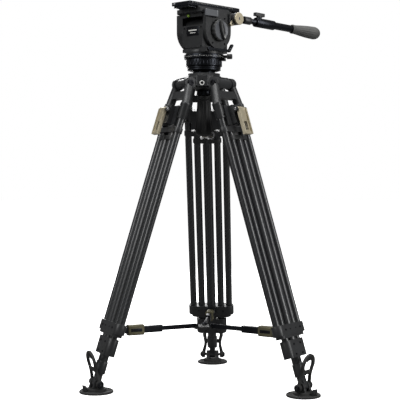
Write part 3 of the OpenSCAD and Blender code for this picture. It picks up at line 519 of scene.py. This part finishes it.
nodeFinish = {
    "crown": (castCoated, 1.5),
    "half_ball": (turnedAnodised, 0.8),
    "clamp_washer": (blackAnodised, 0.8),
    "spreader_hub": (mouldedNylon, 0.8),
    "pan_base": (turnedAnodised, 0.5),
    "pan_drag_ring": (turnedAnodised, 0.4),
    "pan_lock_knob": (mouldedNylon, 0.8),
    "head_body": (castCoated, 1.8),
    "tilt_lock_lever": (blackAnodised, 1.0),
    "tilt_cradle": (castCoated, 1.2),
    "plate_lock_lever": (greyAbsAndPaintedHighlight, 1.2),
    "sliding_plate": (blackAnodised, 0.6),
    "plate_catch_button": (stainless, 0.4),
    "rosette_arm": (castCoated, 1.0),
    "rosette_screw": (champagneAnodised, 0.7),
    "pan_bar_rod": (blackAnodised, 0.5),
    "pan_bar_tube": (blackAnodised, 0.8),
    "pan_bar_clamp_knob": (mouldedNylon, 1.8),
}
legFinish = {
    "yoke": (castCoated, 2.0),
    "lower_bracket": (castCoated, 1.2),
    "mid_brackets": (castCoated, 1.2),
    "ankle_socket": (castCoated, 0.8),
    "flip_lever": (champagneAnodised, 0.8),
    "spreader_blade": (blackAnodised, 0.5),
}


def dressFrame():
    for name, (material, width) in nodeFinish.items():
        dressNode(name, material, width)
    for part, (material, width) in legFinish.items():
        for leg in legNames:
            dressNode(part + "_" + leg, material, width)


def legFrame(leg):
    # X points outward, Y along the hinge, and -Z down the leg from the hinge.
    hinge = Vector(joints["leg_" + leg + "_fold"]["pos_m"]) / mm
    across = Vector(joints["leg_" + leg + "_fold"]["axis"])
    upward = -Vector(joints["leg_" + leg + "_middle_stage"]["axis"])
    outward = across.cross(upward)
    return Matrix.Translation(hinge) @ Matrix((outward, across, upward)).transposed().to_4x4()


def uprightFrame(jointName, leg):
    # X points outward and Z up, at the joint.
    place = Vector(joints[jointName]["pos_m"]) / mm
    across = Vector(joints["leg_" + leg + "_fold"]["axis"])
    upward = Vector((0, 0, 1))
    return Matrix.Translation(place) @ Matrix((across.cross(upward), across, upward)).transposed().to_4x4()


def nodeBox(name):
    low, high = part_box(name)
    return low / mm, high / mm


tubes = {
    "outer": {"side": 53, "radius": 9.5, "wall": 1.6, "top": 65, "end": 688.7},
    "inner": {"side": 28.5, "radius": 9.5, "wall": 1.6, "top": 129, "end": 744.2},
    "centre": {"radius": 13, "wall": 1.6, "top": 152, "end": 800.2},
    "slider": {"top": 150, "height": 12, "halfLength": 28.5, "radius": 12, "fit": 0.05},
}


def carbonTube(shape, size, side, place):
    # One hollow tube whose UV map is its surface rolled flat, in metres.
    steps = 32
    rolled = shape.loops.layers.uv.verify()
    outer, inner = size["radius"], size["radius"] - size["wall"]
    stations = [size["end"] - (size["end"] - size["top"]) * k / 6 for k in range(7)]
    spots = [(outer, s) for s in stations] + [(inner, stations[-1]), (inner, stations[0])]
    rings = [[place @ at(0, side, 0) @ p for p in ring(r, -s, steps)] for r, s in spots]
    made = [[shape.verts.new(p) for p in one] for one in rings]
    for n, low in enumerate(made):
        high = made[(n + 1) % len(made)]
        for k in range(steps):
            face = shape.faces.new((low[k], low[(k + 1) % steps], high[(k + 1) % steps], high[k]))
            corners = ((k, n), (k + 1, n), (k + 1, n + 1), (k, n + 1))
            for loop, (turn, row) in zip(face.loops, corners):
                along = spots[row % len(spots)][1]
                loop[rolled].uv = (turn / steps * 2 * math.pi * outer * mm, along * mm)


def makeTubes(leg):
    place = legFrame(leg)
    for part, body, node in (("outer", "leg_", "outer_tubes_"), ("inner", "mid_", "inner_tubes_")):
        shape = bmesh.new()
        for side in (-1, 1):
            carbonTube(shape, tubes[part], side * tubes[part]["side"], place)
        makePiece(part + "CarbonTubes_" + leg, shape, body + leg, [carbon], (node + leg,))
    shape = bmesh.new()
    carbonTube(shape, tubes["centre"], 0, place)
    slider = tubes["slider"]
    holes = [circleOutline(tubes["inner"]["radius"] + slider["fit"], (0, side * tubes["inner"]["side"]))
             for side in (-1, 1)]
    blocked = stadiumOutline(slider["halfLength"], slider["radius"])
    prism(shape, blocked, slider["height"], place @ at(0, 0, -slider["top"] - slider["height"]),
          holes, slot=1)
    makePiece("centreCarbonTube_" + leg, shape, "low_" + leg, [carbon, mouldedNylon],
              ("centre_tube_" + leg,))


legScrews = {
    # out from the leg line, along the hinge, down from the hinge, head radius, head height
    "leg_": [(13.0, 53, 66, 3.0, 2.6), (13.0, -53, 66, 3.0, 2.6), (13.0, 53, 94, 3.0, 2.6),
             (13.0, -53, 94, 3.0, 2.6), (15.4, 36, 678, 2.8, 2.4), (15.4, -36, 678, 2.8, 2.4),
             (15.4, 14, 678, 2.2, 1.8), (15.4, -14, 678, 2.2, 1.8)],
    "mid_": [(15.4, 16, 718, 2.8, 2.4), (15.4, -16, 718, 2.8, 2.4), (15.4, 16, 744, 2.8, 2.4),
             (15.4, -16, 744, 2.8, 2.4)],
    "low_": [(15.0, 0, 778, 2.2, 1.6)],
}


def makeLegDetails(leg):
    place = legFrame(leg)
    for body, screws in legScrews.items():
        shape = bmesh.new()
        for out, along, down, radius, height in screws:
            capScrew(shape, place @ at(out - 1, along, -down) @ turned(90, "Y"), radius, height)
            capScrew(shape, place @ at(1 - out, along, -down) @ turned(-90, "Y"), radius, height)
        makePiece("capScrews_" + body + leg, shape, body + leg, [blackOxide])
    # Steel ends of the lever pin.
    shape = bmesh.new()
    pin = Vector(joints["leg_" + leg + "_flip_lever"]["pos_m"]) / mm
    across = Vector(joints["leg_" + leg + "_fold"]["axis"])
    for side in (-1, 1):
        start = pin + across * side * 24.2
        capScrew(shape, facing(start, across * side), 3.6, 1.6)
    makePiece("leverPinEnds_" + leg, shape, "leg_" + leg, [stainless])


foot = {"padRadius": 45, "padThickness": 6, "bossRadius": 27, "bossHeight": 6.5, "earRadius": 12,
        "earWidth": 9.5, "eyeWidth": 16, "gap": 0.3, "treadRings": 6, "ribs": 16, "rackOut": 24}
strap = {"lean": 13, "thickness": 7, "length": 88.3, "topRadius": 31, "eyeRadius": 10, "eyeIn": 22,
         "eyeOut": 33, "pinHole": 4.2, "ridges": 9, "ridgeHeight": 1.0}
strapEdge = [(33, 0), (31.5, 10), (27.5, 24), (26, 34), (27.6, 45), (31, 57.3)]  # half width, height
strapOpening = [(22, 0), (20.6, 12), (17.8, 28), (17.5, 40), (18.6, 51), (20, 57.3), (18.6, 65), (14, 70.3),
                (6, 71.3)]
strapInner = [(22, 0), (20.9, 10), (18.3, 24), (17.5, 34), (18, 45), (20, 57)]  # inner edge of each strand


def makeFoot(leg):
    place = uprightFrame("foot_" + leg + "_ankle", leg)
    drop = joints["foot_" + leg + "_ankle"]["pos_m"][2] / mm
    shape = bmesh.new()
    pad, height, boss = foot["padRadius"], foot["padThickness"], foot["bossRadius"]
    under = []
    for k in range(foot["treadRings"]):  # shallow circular grooves in the tread
        r = 6 + (pad - 12) * k / foot["treadRings"]
        under += [(r, 0.0), (r + 3.4, 0.0), (r + 3.9, 1.0), (r + 5.0, 1.0)]
    profile = [(0.5, 0.0)] + under
    profile += [(pad - 1.2, 0.0), (pad, 1.0), (pad, height - 2.0), (pad - 0.8, height - 0.9),
                (pad - 2.2, height), (pad - 5, height), (pad - 6.2, height - 1.2),
                (boss + 2.2, height - 1.2), (boss + 0.2, height - 0.2)]
    profile += [(boss, height + 1.0), (boss - 0.6, height + 4.5), (boss - 2.6, height + 6.1),
                (boss - 5, height + foot["bossHeight"]), (0.5, height + foot["bossHeight"])]
    lathe(shape, profile, place @ at(0, 0, -drop), steps=72)
    for k in range(foot["ribs"]):  # ribs from the boss out to the rim
        turn = 360 * (k + 0.5) / foot["ribs"]
        spot = place @ at(0, 0, -drop + height - 0.9) @ turned(turn, "Z") @ at(boss + 6.0, 0, 0)
        block(shape, (13, 2.2, 1.6), spot, edge=0.5)
    for side in (-1, 1):
        middle = side * (foot["eyeWidth"] / 2 + foot["gap"] + foot["earWidth"] / 2)
        r = foot["earRadius"]
        low = height - drop
        outline = [(-r - 6, low), (r + 6, low), (r + 4.5, low + 4), (r + 1.2, -4.5)]
        outline += [(r * math.cos(a), r * math.sin(a)) for a in [math.radians(10 * n) for n in range(-1, 20)]]
        outline += [(-r - 1.2, -4.5), (-r - 4.5, low + 4)]
        hole = circleOutline(4.2)
        ear = place @ at(0, middle + foot["earWidth"] / 2, 0) @ turned(90, "X")
        prism(shape, outline, foot["earWidth"], ear, [hole], slot=1, edge=1.0)
    for k in range(5):  # the notched rack that the strap hooks over
        spot = place @ at(foot["rackOut"] + 8.5 + 0.5 * k, 0, -drop + height + 1.2 + 2.9 * k)
        block(shape, (3.0, 20, 3.6), spot @ turned(28, "Y"), slot=1, edge=0.7)
    block(shape, (4, 18, 15), place @ at(foot["rackOut"] + 6.2, 0, -drop + height + 6.2) @ turned(8, "Y"),
          slot=1)
    makePiece("rubberFoot_" + leg, shape, "shoe_" + leg, [mouldedRubber, mouldedNylon],
              ("foot_" + leg,))
    shape = bmesh.new()
    for side in (-1, 1):
        outside = place @ at(0, side * (strap["eyeOut"] + 0.3), 0) @ turned(-90 * side, "X")
        lathe(shape, [(4, 0), (8.4, 0), (8.4, 1.0), (7.9, 1.4), (4, 1.4)], outside, closed=True)
        capScrew(shape, outside @ at(0, 0, 1.3), 5.8, 2.6, slot=1)
    makePiece("ankleBolts_" + leg, shape, "low_" + leg, [blackAnodised, blackOxide])


def makeStrap(leg):
    # A moulded rubber stirrup on the ankle pin: waisted strands, a bridge, a finger hole and a ridged top.
    ankle = uprightFrame("foot_" + leg + "_ankle", leg)
    leaning = ankle @ turned(strap["lean"], "Y")
    flat = leaning @ turned(90, "Z") @ turned(90, "X")  # local X runs along the pin, Y up the strap
    half = strap["thickness"] / 2
    centre = strap["length"] - strap["topRadius"]
    right = smoothLine([Vector((x, y, 0)) for x, y in strapEdge], 4)
    arc = [Vector((strap["topRadius"] * math.cos(a), centre + strap["topRadius"] * math.sin(a), 0))
           for a in [math.pi * k / 24 for k in range(1, 24)]]
    inside = smoothLine([Vector((x, y, 0)) for x, y in strapOpening], 3)
    outline = right + arc + [Vector((-p.x, p.y, 0)) for p in reversed(right)]
    outline += [Vector((-p.x, p.y, 0)) for p in inside] + list(reversed(inside))
    shape = bmesh.new()
    prism(shape, [(p.x, p.y) for p in outline], strap["thickness"], flat @ at(0, 0, -half), edge=1.5)
    block(shape, (half - 0.5, 37, 12), leaning @ at(half / 2 + 0.2, 0, 40), edge=0.8)
    for k in range(strap["ridges"]):  # ridges fan out over both faces of the top
        turn = (k - (strap["ridges"] - 1) / 2) * 11
        for face in (-1, 1):
            spot = flat @ at(0, centre, face * half) @ turned(turn, "Z") @ at(0, strap["topRadius"] - 8.5, 0)
            block(shape, (2.2, 12.5, 2 * strap["ridgeHeight"]), spot, edge=0.6)
    for face in (-1, 1):  # a raised bead down the middle of each strand
        for flip in (-1, 1):
            line = [Vector((flip * (a[0] + b[0]) / 2, a[1], face * (half - 0.2)))
                    for a, b in zip(strapEdge, strapInner)]
            sweep(shape, line, [ellipseOutline(3.4, 1.6, 10)] * len(line), Vector((0, 0, 1)), flat)
    for side in (-1, 1):
        eye = ankle @ at(0, side * (strap["eyeIn"] + strap["eyeOut"]) / 2, 0) @ turned(90, "X")
        wide, r = (strap["eyeOut"] - strap["eyeIn"]) / 2, strap["eyeRadius"]
        lathe(shape, [(strap["pinHole"], -wide), (r - 2.4, -wide), (r - 1.2, -wide + 0.5), (r, -wide + 1.6),
                      (r, wide - 1.6), (r - 1.2, wide - 0.5), (r - 2.4, wide), (strap["pinHole"], wide)],
              eye, closed=True)
    makePiece("rubberFootStrap_" + leg, shape, "shoe_" + leg, [mouldedRubber],
              ("foot_strap_" + leg,),
              smooth=40)


spreader = {"tubeLength": 115.8, "tubeWide": 14, "tubeHigh": 19, "slotWide": 6.3, "slotHigh": 12.3,
            "blockStart": 17, "blockLength": 45, "blockWide": 22, "blockHigh": 28, "forkRadius": 7.5,
            "pinRadius": 3}


def makeSpreaderArm(leg):
    place = uprightFrame("spreader_" + leg + "_arm_hinge", leg)
    size = spreader
    shape = bmesh.new()
    slot = roundedOutline(size["slotWide"], size["slotHigh"], 0.4)
    inward = place @ turned(-90, "Y")  # local Z runs in towards the hub, X up
    upright = inward @ turned(90, "Z")
    prism(shape, roundedOutline(size["tubeWide"], size["tubeHigh"], 2.0),
          size["tubeLength"] - size["blockStart"],
          upright @ at(0, 0, size["blockStart"]), [slot], slot=1, edge=0.4)
    end = 6.0
    prism(shape, roundedOutline(size["tubeWide"] - 0.02, size["tubeHigh"] - 0.02, 2.0), end,
          upright @ at(0, 0, size["tubeLength"] - end), [slot], slot=2, edge=0.4)
    first = size["blockStart"]
    wide, high = size["blockWide"] / 2, size["blockHigh"] / 2
    chamfer = [(-wide, -high + 4), (-wide + 4, -high), (wide - 4, -high), (wide, -high + 4), (wide, high - 3),
               (wide - 3, high), (-wide + 3, high), (-wide, high - 3)]
    prism(shape, chamfer, size["blockLength"], upright @ at(0, 0, first), [slot], slot=0, edge=1.2)
    for side in (-1, 1):  # a sunk panel with two screws on each face of the block
        face = place @ at(-first - size["blockLength"] / 2, side * size["blockWide"] / 2,
                          0) @ turned(-90 * side, "X")
        block(shape, (size["blockLength"] - 13, 9, 0.8), face, slot=1, edge=0.3)
        for along in (-11, 11):
            capScrew(shape, face @ at(along, 0, 0.3), 2.2, 1.0, slot=3)
    lathe(shape, [(size["forkRadius"], -7.5), (size["forkRadius"], 7.5)], place @ turned(90, "X"), slot=1)
    block(shape, (first + 1, 15, 15), place @ at(-first / 2 - 0.5, 0, 0), slot=1, edge=1.0)
    lathe(shape, [(size["pinRadius"], -12.2), (size["pinRadius"], 12.2)], place @ turned(90, "X"), slot=3)
    makePiece("spreaderArm_" + leg, shape, "arm_" + leg,
              [oliveAnodised, blackAnodised, mouldedNylon, blackOxide], ("spreader_arm_" + leg,))
    shape = bmesh.new()
    for side in (-1, 1):
        capScrew(shape, place @ at(0, side * 12.25, 0) @ turned(-90 * side, "X"), 4.6, 2.0)
    makePiece("spreaderPinHeads_" + leg, shape, "leg_" + leg, [blackOxide])


bolts = {"shaft": 6, "half": 45.3, "headRadius": 8.5, "headHeight": 2.8}
ports = {"count": 3, "first": 68, "radius": 64, "ringInner": 4.2, "ringOuter": 6.2, "ringHeight": 0.5}


def makeHingeBolts():
    shape = bmesh.new()
    for leg in legNames:
        place = legFrame(leg)
        lathe(shape, [(bolts["shaft"], -bolts["half"]), (bolts["shaft"], bolts["half"])],
              place @ turned(90, "X"))
        hole, rim = bolts["shaft"] - 1, bolts["headRadius"] + 0.6
        for side in (-1, 1):
            outside = place @ at(0, side * bolts["half"], 0) @ turned(-90 * side, "X")
            lathe(shape, [(hole, 0), (rim, 0), (rim, 0.7), (hole, 0.7)], outside, slot=1, closed=True)
            capScrew(shape, outside @ at(0, 0, 0.5), bolts["headRadius"] - 0.8, bolts["headHeight"])
    makePiece("hingeBolts", shape, "crown", [blackOxide, blackAnodised], ("hinge_bolts",))


def makePortRings():
    # Painted rings round the tapped accessory ports, and the thread's first turns inside.
    shape = bmesh.new()
    hingeHeight = joints["leg_right_fold"]["pos_m"][2] / mm
    inner, outer, high = ports["ringInner"], ports["ringOuter"], ports["ringHeight"]
    painted = [(inner, -0.1), (outer, -0.1), (outer, high - 0.2), (outer - 0.3, high), (inner + 0.3, high),
               (inner, high - 0.2)]
    for k in range(ports["count"]):
        face = turned(ports["first"] + 120 * k, "Z") @ at(ports["radius"], 0, hingeHeight) @ turned(90, "Y")
        lathe(shape, painted, face, closed=True)
        for turn in range(5):
            depth = -1.2 - 1.5 * turn
            lathe(shape, [(3.96, depth), (3.5, depth + 0.35), (3.96, depth + 0.7)], face, slot=1, steps=32,
                  closed=True)
    makePiece("portRings", shape, "crown", [whiteInk, blackOxide])


handle = {"flutes": 12, "fluteDepth": 0.9, "fluteTop": -15, "fluteEnd": -96, "length": 111, "boreDepth": 41,
          "collarRibs": 28, "ribOut": 17.9, "ribDown": 7.6, "hookRadius": 8, "hookWire": 4.6, "hookOut": 21,
          "hookUp": 3, "hookTurn": 20}
handleProfile = [
    # radius, height from the top
    (6.05, -40), (6.05, -0.6), (7, 0), (15, 0), (16.2, -0.8), (17.8, -2.6), (18, -4), (18, -11),
    (17.2, -12.2),
    (17.2, -13.6), (18.6, -14.6), (19.2, -17), (20.0, -34), (20.5, -50), (22.8, -70), (24.8, -86),
    (25.3, -92),
    (25.4, -97), (24.2, -102), (20.8, -107.2), (16, -109.6), (13.5, -110.6), (4, -111)]


def makeHandle():
    top = nodeBox("tie_down_handle")[1].z
    place = at(0, 0, top)
    rings = []
    for radius, height in handleProfile:
        fluted = handle["fluteEnd"] < height < handle["fluteTop"] and radius > 15
        depth = handle["fluteDepth"] if fluted else 0
        rings.append(ring(radius - depth, height, 96, wobble=depth, teeth=handle["flutes"] if fluted else 0))
    rings.append(ring(4, -handle["boreDepth"], 96))
    shape = bmesh.new()
    loft(shape, rings, place)
    count = handle["collarRibs"]
    for k in range(count):  # fine ribs round the top collar
        spot = place @ turned(360 * k / count, "Z") @ at(handle["ribOut"], 0, -handle["ribDown"])
        block(shape, (1.0, 1.6, 6.4), spot, edge=0.3)
    # The weight hook: a steel ring at the handle's lower end.
    end = top - handle["length"]
    hook = turned(handle["hookTurn"], "Z") @ at(handle["hookOut"], 0, end + handle["hookUp"])
    radius, steps = handle["hookRadius"], 32
    path = [Vector((radius * math.cos(a), 0, radius * math.sin(a)))
            for a in [2 * math.pi * n / steps for n in range(steps)]]
    wire = ellipseOutline(handle["hookWire"], handle["hookWire"], 12)
    sweep(shape, path, [wire] * steps, Vector((0, 1, 0)), hook, slot=1, closed=True)
    makePiece("tieDownHandle", shape, "tie_down", [mouldedNylon, stainless],
              ("tie_down_handle",), smooth=25)


badge = {"width": 46, "height": 25.4, "middle": 956, "front": -44.6}
badgeBars = [
    # width, height, up from the middle
    (30, 3.4, 2.5), (20, 1.8, -4.5)]
housing = {"screwOut": 31, "screwLevels": (914, 965), "front": -45.4, "back": 53.2, "capFace": -61.4,
           "capScrews": 5, "capRing": 15.5}
panMarks = {"radius": 54.5, "middle": 889.6, "count": 72, "tall": 4.6, "short": 2.6}


def makeHeadDetails():
    tiltPlace = Vector(joints["tilt"]["pos_m"]) / mm
    # The blank badge: an anodised plate in the recess, with two plain bars in place of any lettering.
    shape = bmesh.new()
    face = at(0, badge["front"], badge["middle"]) @ turned(90, "X")
    prism(shape, roundedOutline(badge["width"] - 1, badge["height"], 2.5), 0.9, face @ at(0, 0, -0.6), slot=0,
          edge=0.3)
    for wide, tall, up in badgeBars:
        prism(shape, roundedOutline(wide, tall, 0.6), 0.3, face @ at(0, up, 0.2), slot=1, edge=0.1)
    makePiece("frontBadge", shape, "head", [blackAnodised, whiteInk])
    # Screws at the corners of the housing, and round its left cap.
    shape = bmesh.new()
    for x in (-housing["screwOut"], housing["screwOut"]):
        for z in housing["screwLevels"]:
            capScrew(shape, at(x, housing["front"] + 1.2, z) @ turned(90, "X"), 2.4, 1.9)
            capScrew(shape, at(x, housing["back"] - 1.0, z) @ turned(-90, "X"), 2.4, 1.9)
    capPlace = Matrix.Translation((housing["capFace"], tiltPlace.y, tiltPlace.z)) @ turned(-90, "Y")
    count = housing["capScrews"]
    for k in range(count):
        capScrew(shape, capPlace @ turned(360 / count * k, "Z") @ at(housing["capRing"], 0, 0), 1.9, 1.2)
    makePiece("housingScrews", shape, "head", [blackOxide])
    # Degree marks round the fixed ring under the head, and the pointer above them.
    shape = bmesh.new()
    count = panMarks["count"]
    markFoot = panMarks["middle"] - panMarks["tall"] / 2
    for k in range(count):
        tall = panMarks["tall"] if k % 6 == 0 else panMarks["short"]
        spot = turned(360 / count * k, "Z") @ at(panMarks["radius"] + 0.02, 0, markFoot + tall / 2)
        block(shape, (0.3, 0.55, tall), spot, edge=0)
    makePiece("panDegreeMarks", shape, "ball", [whiteInk])
    shape = bmesh.new()
    arrow = [(0, -4.0), (2.2, 0), (-2.2, 0)]
    prism(shape, arrow, 0.5, turned(-52, "Z") @ at(49.8, 0, 903.5) @ turned(90, "Y") @ turned(90, "Z"),
          edge=0)
    makePiece("panPointer", shape, "head", [whiteInk])


dial = {"radius": 30, "barHigh": 8, "barWide": 12, "flutes": 16, "turn": 15}
dialProfile = [
    # radius, height, fluted
    (8.05, 6, 0), (8.05, 0, 0), (27, 0, 0), (28.2, 0.8, 1), (29.2, 2, 1), (29.2, 8.0, 1), (28.0, 9.6, 1),
    (26.0, 10.8, 0), (24.0, 11, 0), (22.6, 10.2, 0), (17, 9.8, 0), (5, 9.8, 0), (5, 6, 0)]


def makeDial():
    low = nodeBox("tilt_drag_dial")[0]
    centre = Vector(joints["tilt"]["pos_m"]) / mm
    place = Matrix.Translation((low.x, centre.y, centre.z)) @ turned(90, "Y")
    shape = bmesh.new()
    rings = []
    for radius, height, fluted in dialProfile:
        rings.append(ring(radius, height, 96, wobble=0.7 * fluted, teeth=dial["flutes"]))
    loft(shape, rings, place, slot=1, closed=True)
    # A ring with a chamfered edge lies in the dial's face; its pale grey is a painted highlight, standing for
    # the bright crescent of light reflected off the dial.
    lathe(shape, [(6, 9.7), (22.4, 9.7), (24.6, 10.9), (25.4, 10.9), (25.4, 11.3), (24.2, 11.3),
                  (21.4, 10.4), (6, 10.4)],
          place, slot=0, steps=96, closed=True)
    # The finger bar across the dial, waisted in the middle, with a white index line.
    long = dial["radius"] - 3
    outline = []
    for k in range(40):
        angle = 2 * math.pi * k / 40
        c, s = math.cos(angle), math.sin(angle)
        across = (dial["barWide"] / 2 - 1.4 * c ** 2 * (1 - abs(c) ** 6)) * s
        outline.append((long * c * 0.97, across))
    bar = place @ turned(dial["turn"], "Z") @ at(0, 0, 9.7)
    prism(shape, outline, dial["barHigh"] + 1.2, bar, slot=1, edge=1.6)
    block(shape, (9, 1.2, 0.4), bar @ at(long - 9, 0, dial["barHigh"] + 1.2), slot=2, edge=0)
    makePiece("tiltDragDial", shape, "drag_dial", [greyAbsAndPaintedHighlight, mouldedNylon, whiteInk],
              ("tilt_drag_dial",))


cradle = {"rightFace": 48.8, "leftFace": -59.8, "screwRing": 42, "seatOut": 40.2, "seatAlong": (-50, 54),
          "seatTop": 1013.9}


def makeCradleDetails():
    centre = Vector(joints["tilt"]["pos_m"]) / mm
    shape = bmesh.new()
    for side in (-1, 1):
        for angle in (35, 145, 215, 325):
            outer = cradle["rightFace"] if side > 0 else cradle["leftFace"]
            spot = Matrix.Translation((outer, centre.y, centre.z)) @ turned(90 * side, "Y")
            capScrew(shape, spot @ turned(angle, "Z") @ at(cradle["screwRing"], 0, -0.6), 2.6, 2.0)
    for x in (-cradle["seatOut"], cradle["seatOut"]):
        for y in cradle["seatAlong"]:
            capScrew(shape, at(x, y, cradle["seatTop"]), 2.4, 1.6)
    makePiece("cradleScrews", shape, "cradle", [blackOxide])
    # The level: a bezel, the green vial and its bubble.
    low, high = nodeBox("bubble_level")
    middle = (low + high) / 2
    shape = bmesh.new()
    vial = at(middle.x, low.y, middle.z) @ turned(90, "X")
    lathe(shape, [(4.0, -4.6), (4.0, 0.2), (3.6, 0.7), (2.2, 1.1), (0.4, 1.2)], vial, slot=0, steps=32)
    lathe(shape, [(4.0, -0.2), (4.19, 0.0), (4.19, 0.9), (3.7, 1.2), (3.4, 0.9)], vial, slot=1, steps=32,
          closed=True)
    lathe(shape, [(1.15, 1.0), (1.2, 1.15), (0.9, 1.5), (0.3, 1.62)], vial @ at(0.5, 0.6, 0), slot=2,
          steps=20)
    makePiece("bubbleVial", shape, "cradle", [greenVial, blackOxide, whiteInk], ("bubble_level",))


plate = {"stripWide": 16, "stripHigh": 0.9, "stripGap": 1.6, "ribs": 46, "marks": 33, "markStep": 5,
         "markStart": -80, "headDown": 6.6, "studUp": 6}
plateScrews = [
    # place along the plate, thread radius, thread pitch
    (-38, 3.175, 1.27), (50, 4.7625, 1.5875)]


def threadedStud(shape, radius, pitch, low, high, place):
    rings = [(radius - 0.5, low)]
    count = int((high - low - 0.6) / pitch)
    for k in range(count):
        base = low + 0.2 + pitch * k
        root = radius - 0.45
        rings += [(root, base), (radius, base + pitch * 0.45), (radius, base + pitch * 0.55),
                  (root, base + pitch * 0.98)]
    rings += [(radius - 0.7, high)]
    lathe(shape, rings, place, steps=32)


def makePlateDetails():
    low, high = nodeBox("sliding_plate")
    long = high.y - low.y
    shape = bmesh.new()
    for side in (-1, 1):
        out = side * (high.x - plate["stripGap"] - plate["stripWide"] / 2)
        strip = Matrix.Translation((out, (low.y + high.y) / 2, high.z))
        block(shape, (plate["stripWide"], long - 10, plate["stripHigh"]), strip @ at(0, 0, 0.35), edge=0.25)
        for k in range(plate["ribs"]):
            along = (k + 0.5) / plate["ribs"] - 0.5
            block(shape, (plate["stripWide"] - 1.2, 1.9, 0.9), strip @ at(0, along * (long - 12), 0.75),
                  edge=0.25)
    makePiece("plateRubberStrips", shape, "plate", [mouldedRubber])
    # A scale of plain marks along both sides of the slab, 5 mm apart.
    shape = bmesh.new()
    for side in (-1, 1):
        for k in range(plate["marks"]):
            tall = 3.0 if k % 2 == 0 else 1.8
            along = plate["markStart"] + plate["markStep"] * k
            block(shape, (0.25, 0.5, tall), at(side * (high.x + 0.02), along, high.z - 1.0 - tall / 2),
                  edge=0)
    makePiece("plateScale", shape, "plate", [whiteInk])
    # The two camera screws: plain round heads in the groove, threaded studs above.
    shape = bmesh.new()
    headTop = high.z - plate["headDown"]
    screwHead = [(3, headTop - 5), (8.0, headTop - 5), (8.5, headTop - 4.5), (8.5, headTop - 0.4),
                 (8.1, headTop),
                 (3, headTop)]
    for y, radius, pitch in plateScrews:
        lathe(shape, screwHead, at(0, y, 0))
        lathe(shape, [(radius - 0.5, headTop - 1), (radius - 0.5, high.z)], at(0, y, 0), steps=32)
        threadedStud(shape, radius, pitch, high.z, high.z + plate["studUp"], at(0, y, 0))
    makePiece("cameraScrews", shape, "screws", [stainless], ("camera_screws",))


bar = {"start": (62.35, 68, 994.5), "splay": 10, "drop": 3.5, "gripStart": 196, "gripLength": 106,
       "gripRadius": 18, "boreRadius": 10.1, "neckRadius": 12.3, "rearLength": 22}


def makeGrip():
    place = Matrix.Translation(bar["start"]) @ turned(-bar["splay"], "Z") @ turned(-90 - bar["drop"], "X")
    place = place @ at(0, 0, bar["gripStart"])
    long, wide = bar["gripLength"], bar["gripRadius"]
    bore, neck, rear = bar["boreRadius"], bar["neckRadius"], bar["rearLength"]
    lip = [(bore, long - 15), (bore, 0.4), (11.2, 0), (12.4, 0.5), (12.9, 2), (12.9, 5.5), (12.1, 6.6)]
    rings = [ring(radius, height, 96) for radius, height in lip]
    for k in range(25):
        share = k / 24
        radius = neck + (wide - neck) * math.sin(math.pi / 2 * share) ** 1.15
        flute = 0.35 * math.sin(math.pi * share) ** 0.6
        rings.append(ring(radius - flute, 8 + (long - 30) * share, 96, wobble=flute, teeth=16))
    for k in range(1, 11):
        angle = math.pi / 2 * k / 10
        rings.append(ring(max(0.6, wide * math.cos(angle)), long - rear + rear * math.sin(angle), 96))
    rings.append(ring(0.6, long - 15, 96))
    shape = bmesh.new()
    loft(shape, rings, place, closed=False)
    makePiece("rubberGrip", shape, "bar_tube", [gripRubber], ("pan_bar_grip",), smooth=40)


rosette = {"knurls": 40, "knurlOut": 16.3, "boltRadius": 3.3}
bracket = {"reach": 22, "rootHalf": 12.1, "endRadius": 6.1, "turn": 41, "inner": 48.0, "outer": 56.4}


def makeRosette():
    # The rosette's pivot bolt.
    shape = bmesh.new()
    low, high = nodeBox("rosette_screw")
    middle = (low + high) / 2
    face = at(high.x - 3.0, middle.y, middle.z) @ turned(90, "Y")
    capScrew(shape, face, rosette["boltRadius"], 2.6)
    makePiece("rosetteBolt", shape, "bar_screw", [stainless])
    shape = bmesh.new()
    cap = at(high.x - 2.5, middle.y, middle.z) @ turned(90, "Y")
    count = rosette["knurls"]
    for k in range(count):  # the knurled rim of the rosette's cap
        block(shape, (1.0, 1.2, 3.6), cap @ turned(360 / count * k, "Z") @ at(rosette["knurlOut"], 0, 0),
              edge=0.3)
    makePiece("rosetteKnurl", shape, "bar_screw", [champagneAnodised])
    # The tapered bracket that carries the rosette, with a screw in its lower end.
    shape = bmesh.new()
    reach, root, end = bracket["reach"], bracket["rootHalf"], bracket["endRadius"]
    thick = bracket["outer"] - bracket["inner"]
    outline = [(0, -root), (0, root)]
    outline += [(-reach - end * math.sin(a),
                 end * math.cos(a)) for a in [math.pi * k / 12 for k in range(13)]]
    leaning = at(bracket["inner"], middle.y, middle.z) @ turned(bracket["turn"], "X")
    face = leaning @ turned(90, "Z") @ turned(90, "X")
    prism(shape, outline, thick, face, edge=0.8)
    capScrew(shape, face @ at(-reach, 0, thick), 2.6, 0.6, slot=1)
    makePiece("rosetteBracket", shape, "cradle", [champagneAnodised, blackOxide])


makeCamera()
makeLights()
makeFloor()
print("studio ready")
dressFrame()
print("CAD nodes dressed")
for legName in legNames:
    makeTubes(legName)
    makeLegDetails(legName)
    makeFoot(legName)
    makeStrap(legName)
    makeSpreaderArm(legName)
print("legs, feet and spreader ready")
makeHingeBolts()
makePortRings()
makeHandle()
print("bowl and handle ready")
makeHeadDetails()
makeDial()
makeCradleDetails()
makePlateDetails()
makeGrip()
makeRosette()
print("head ready")
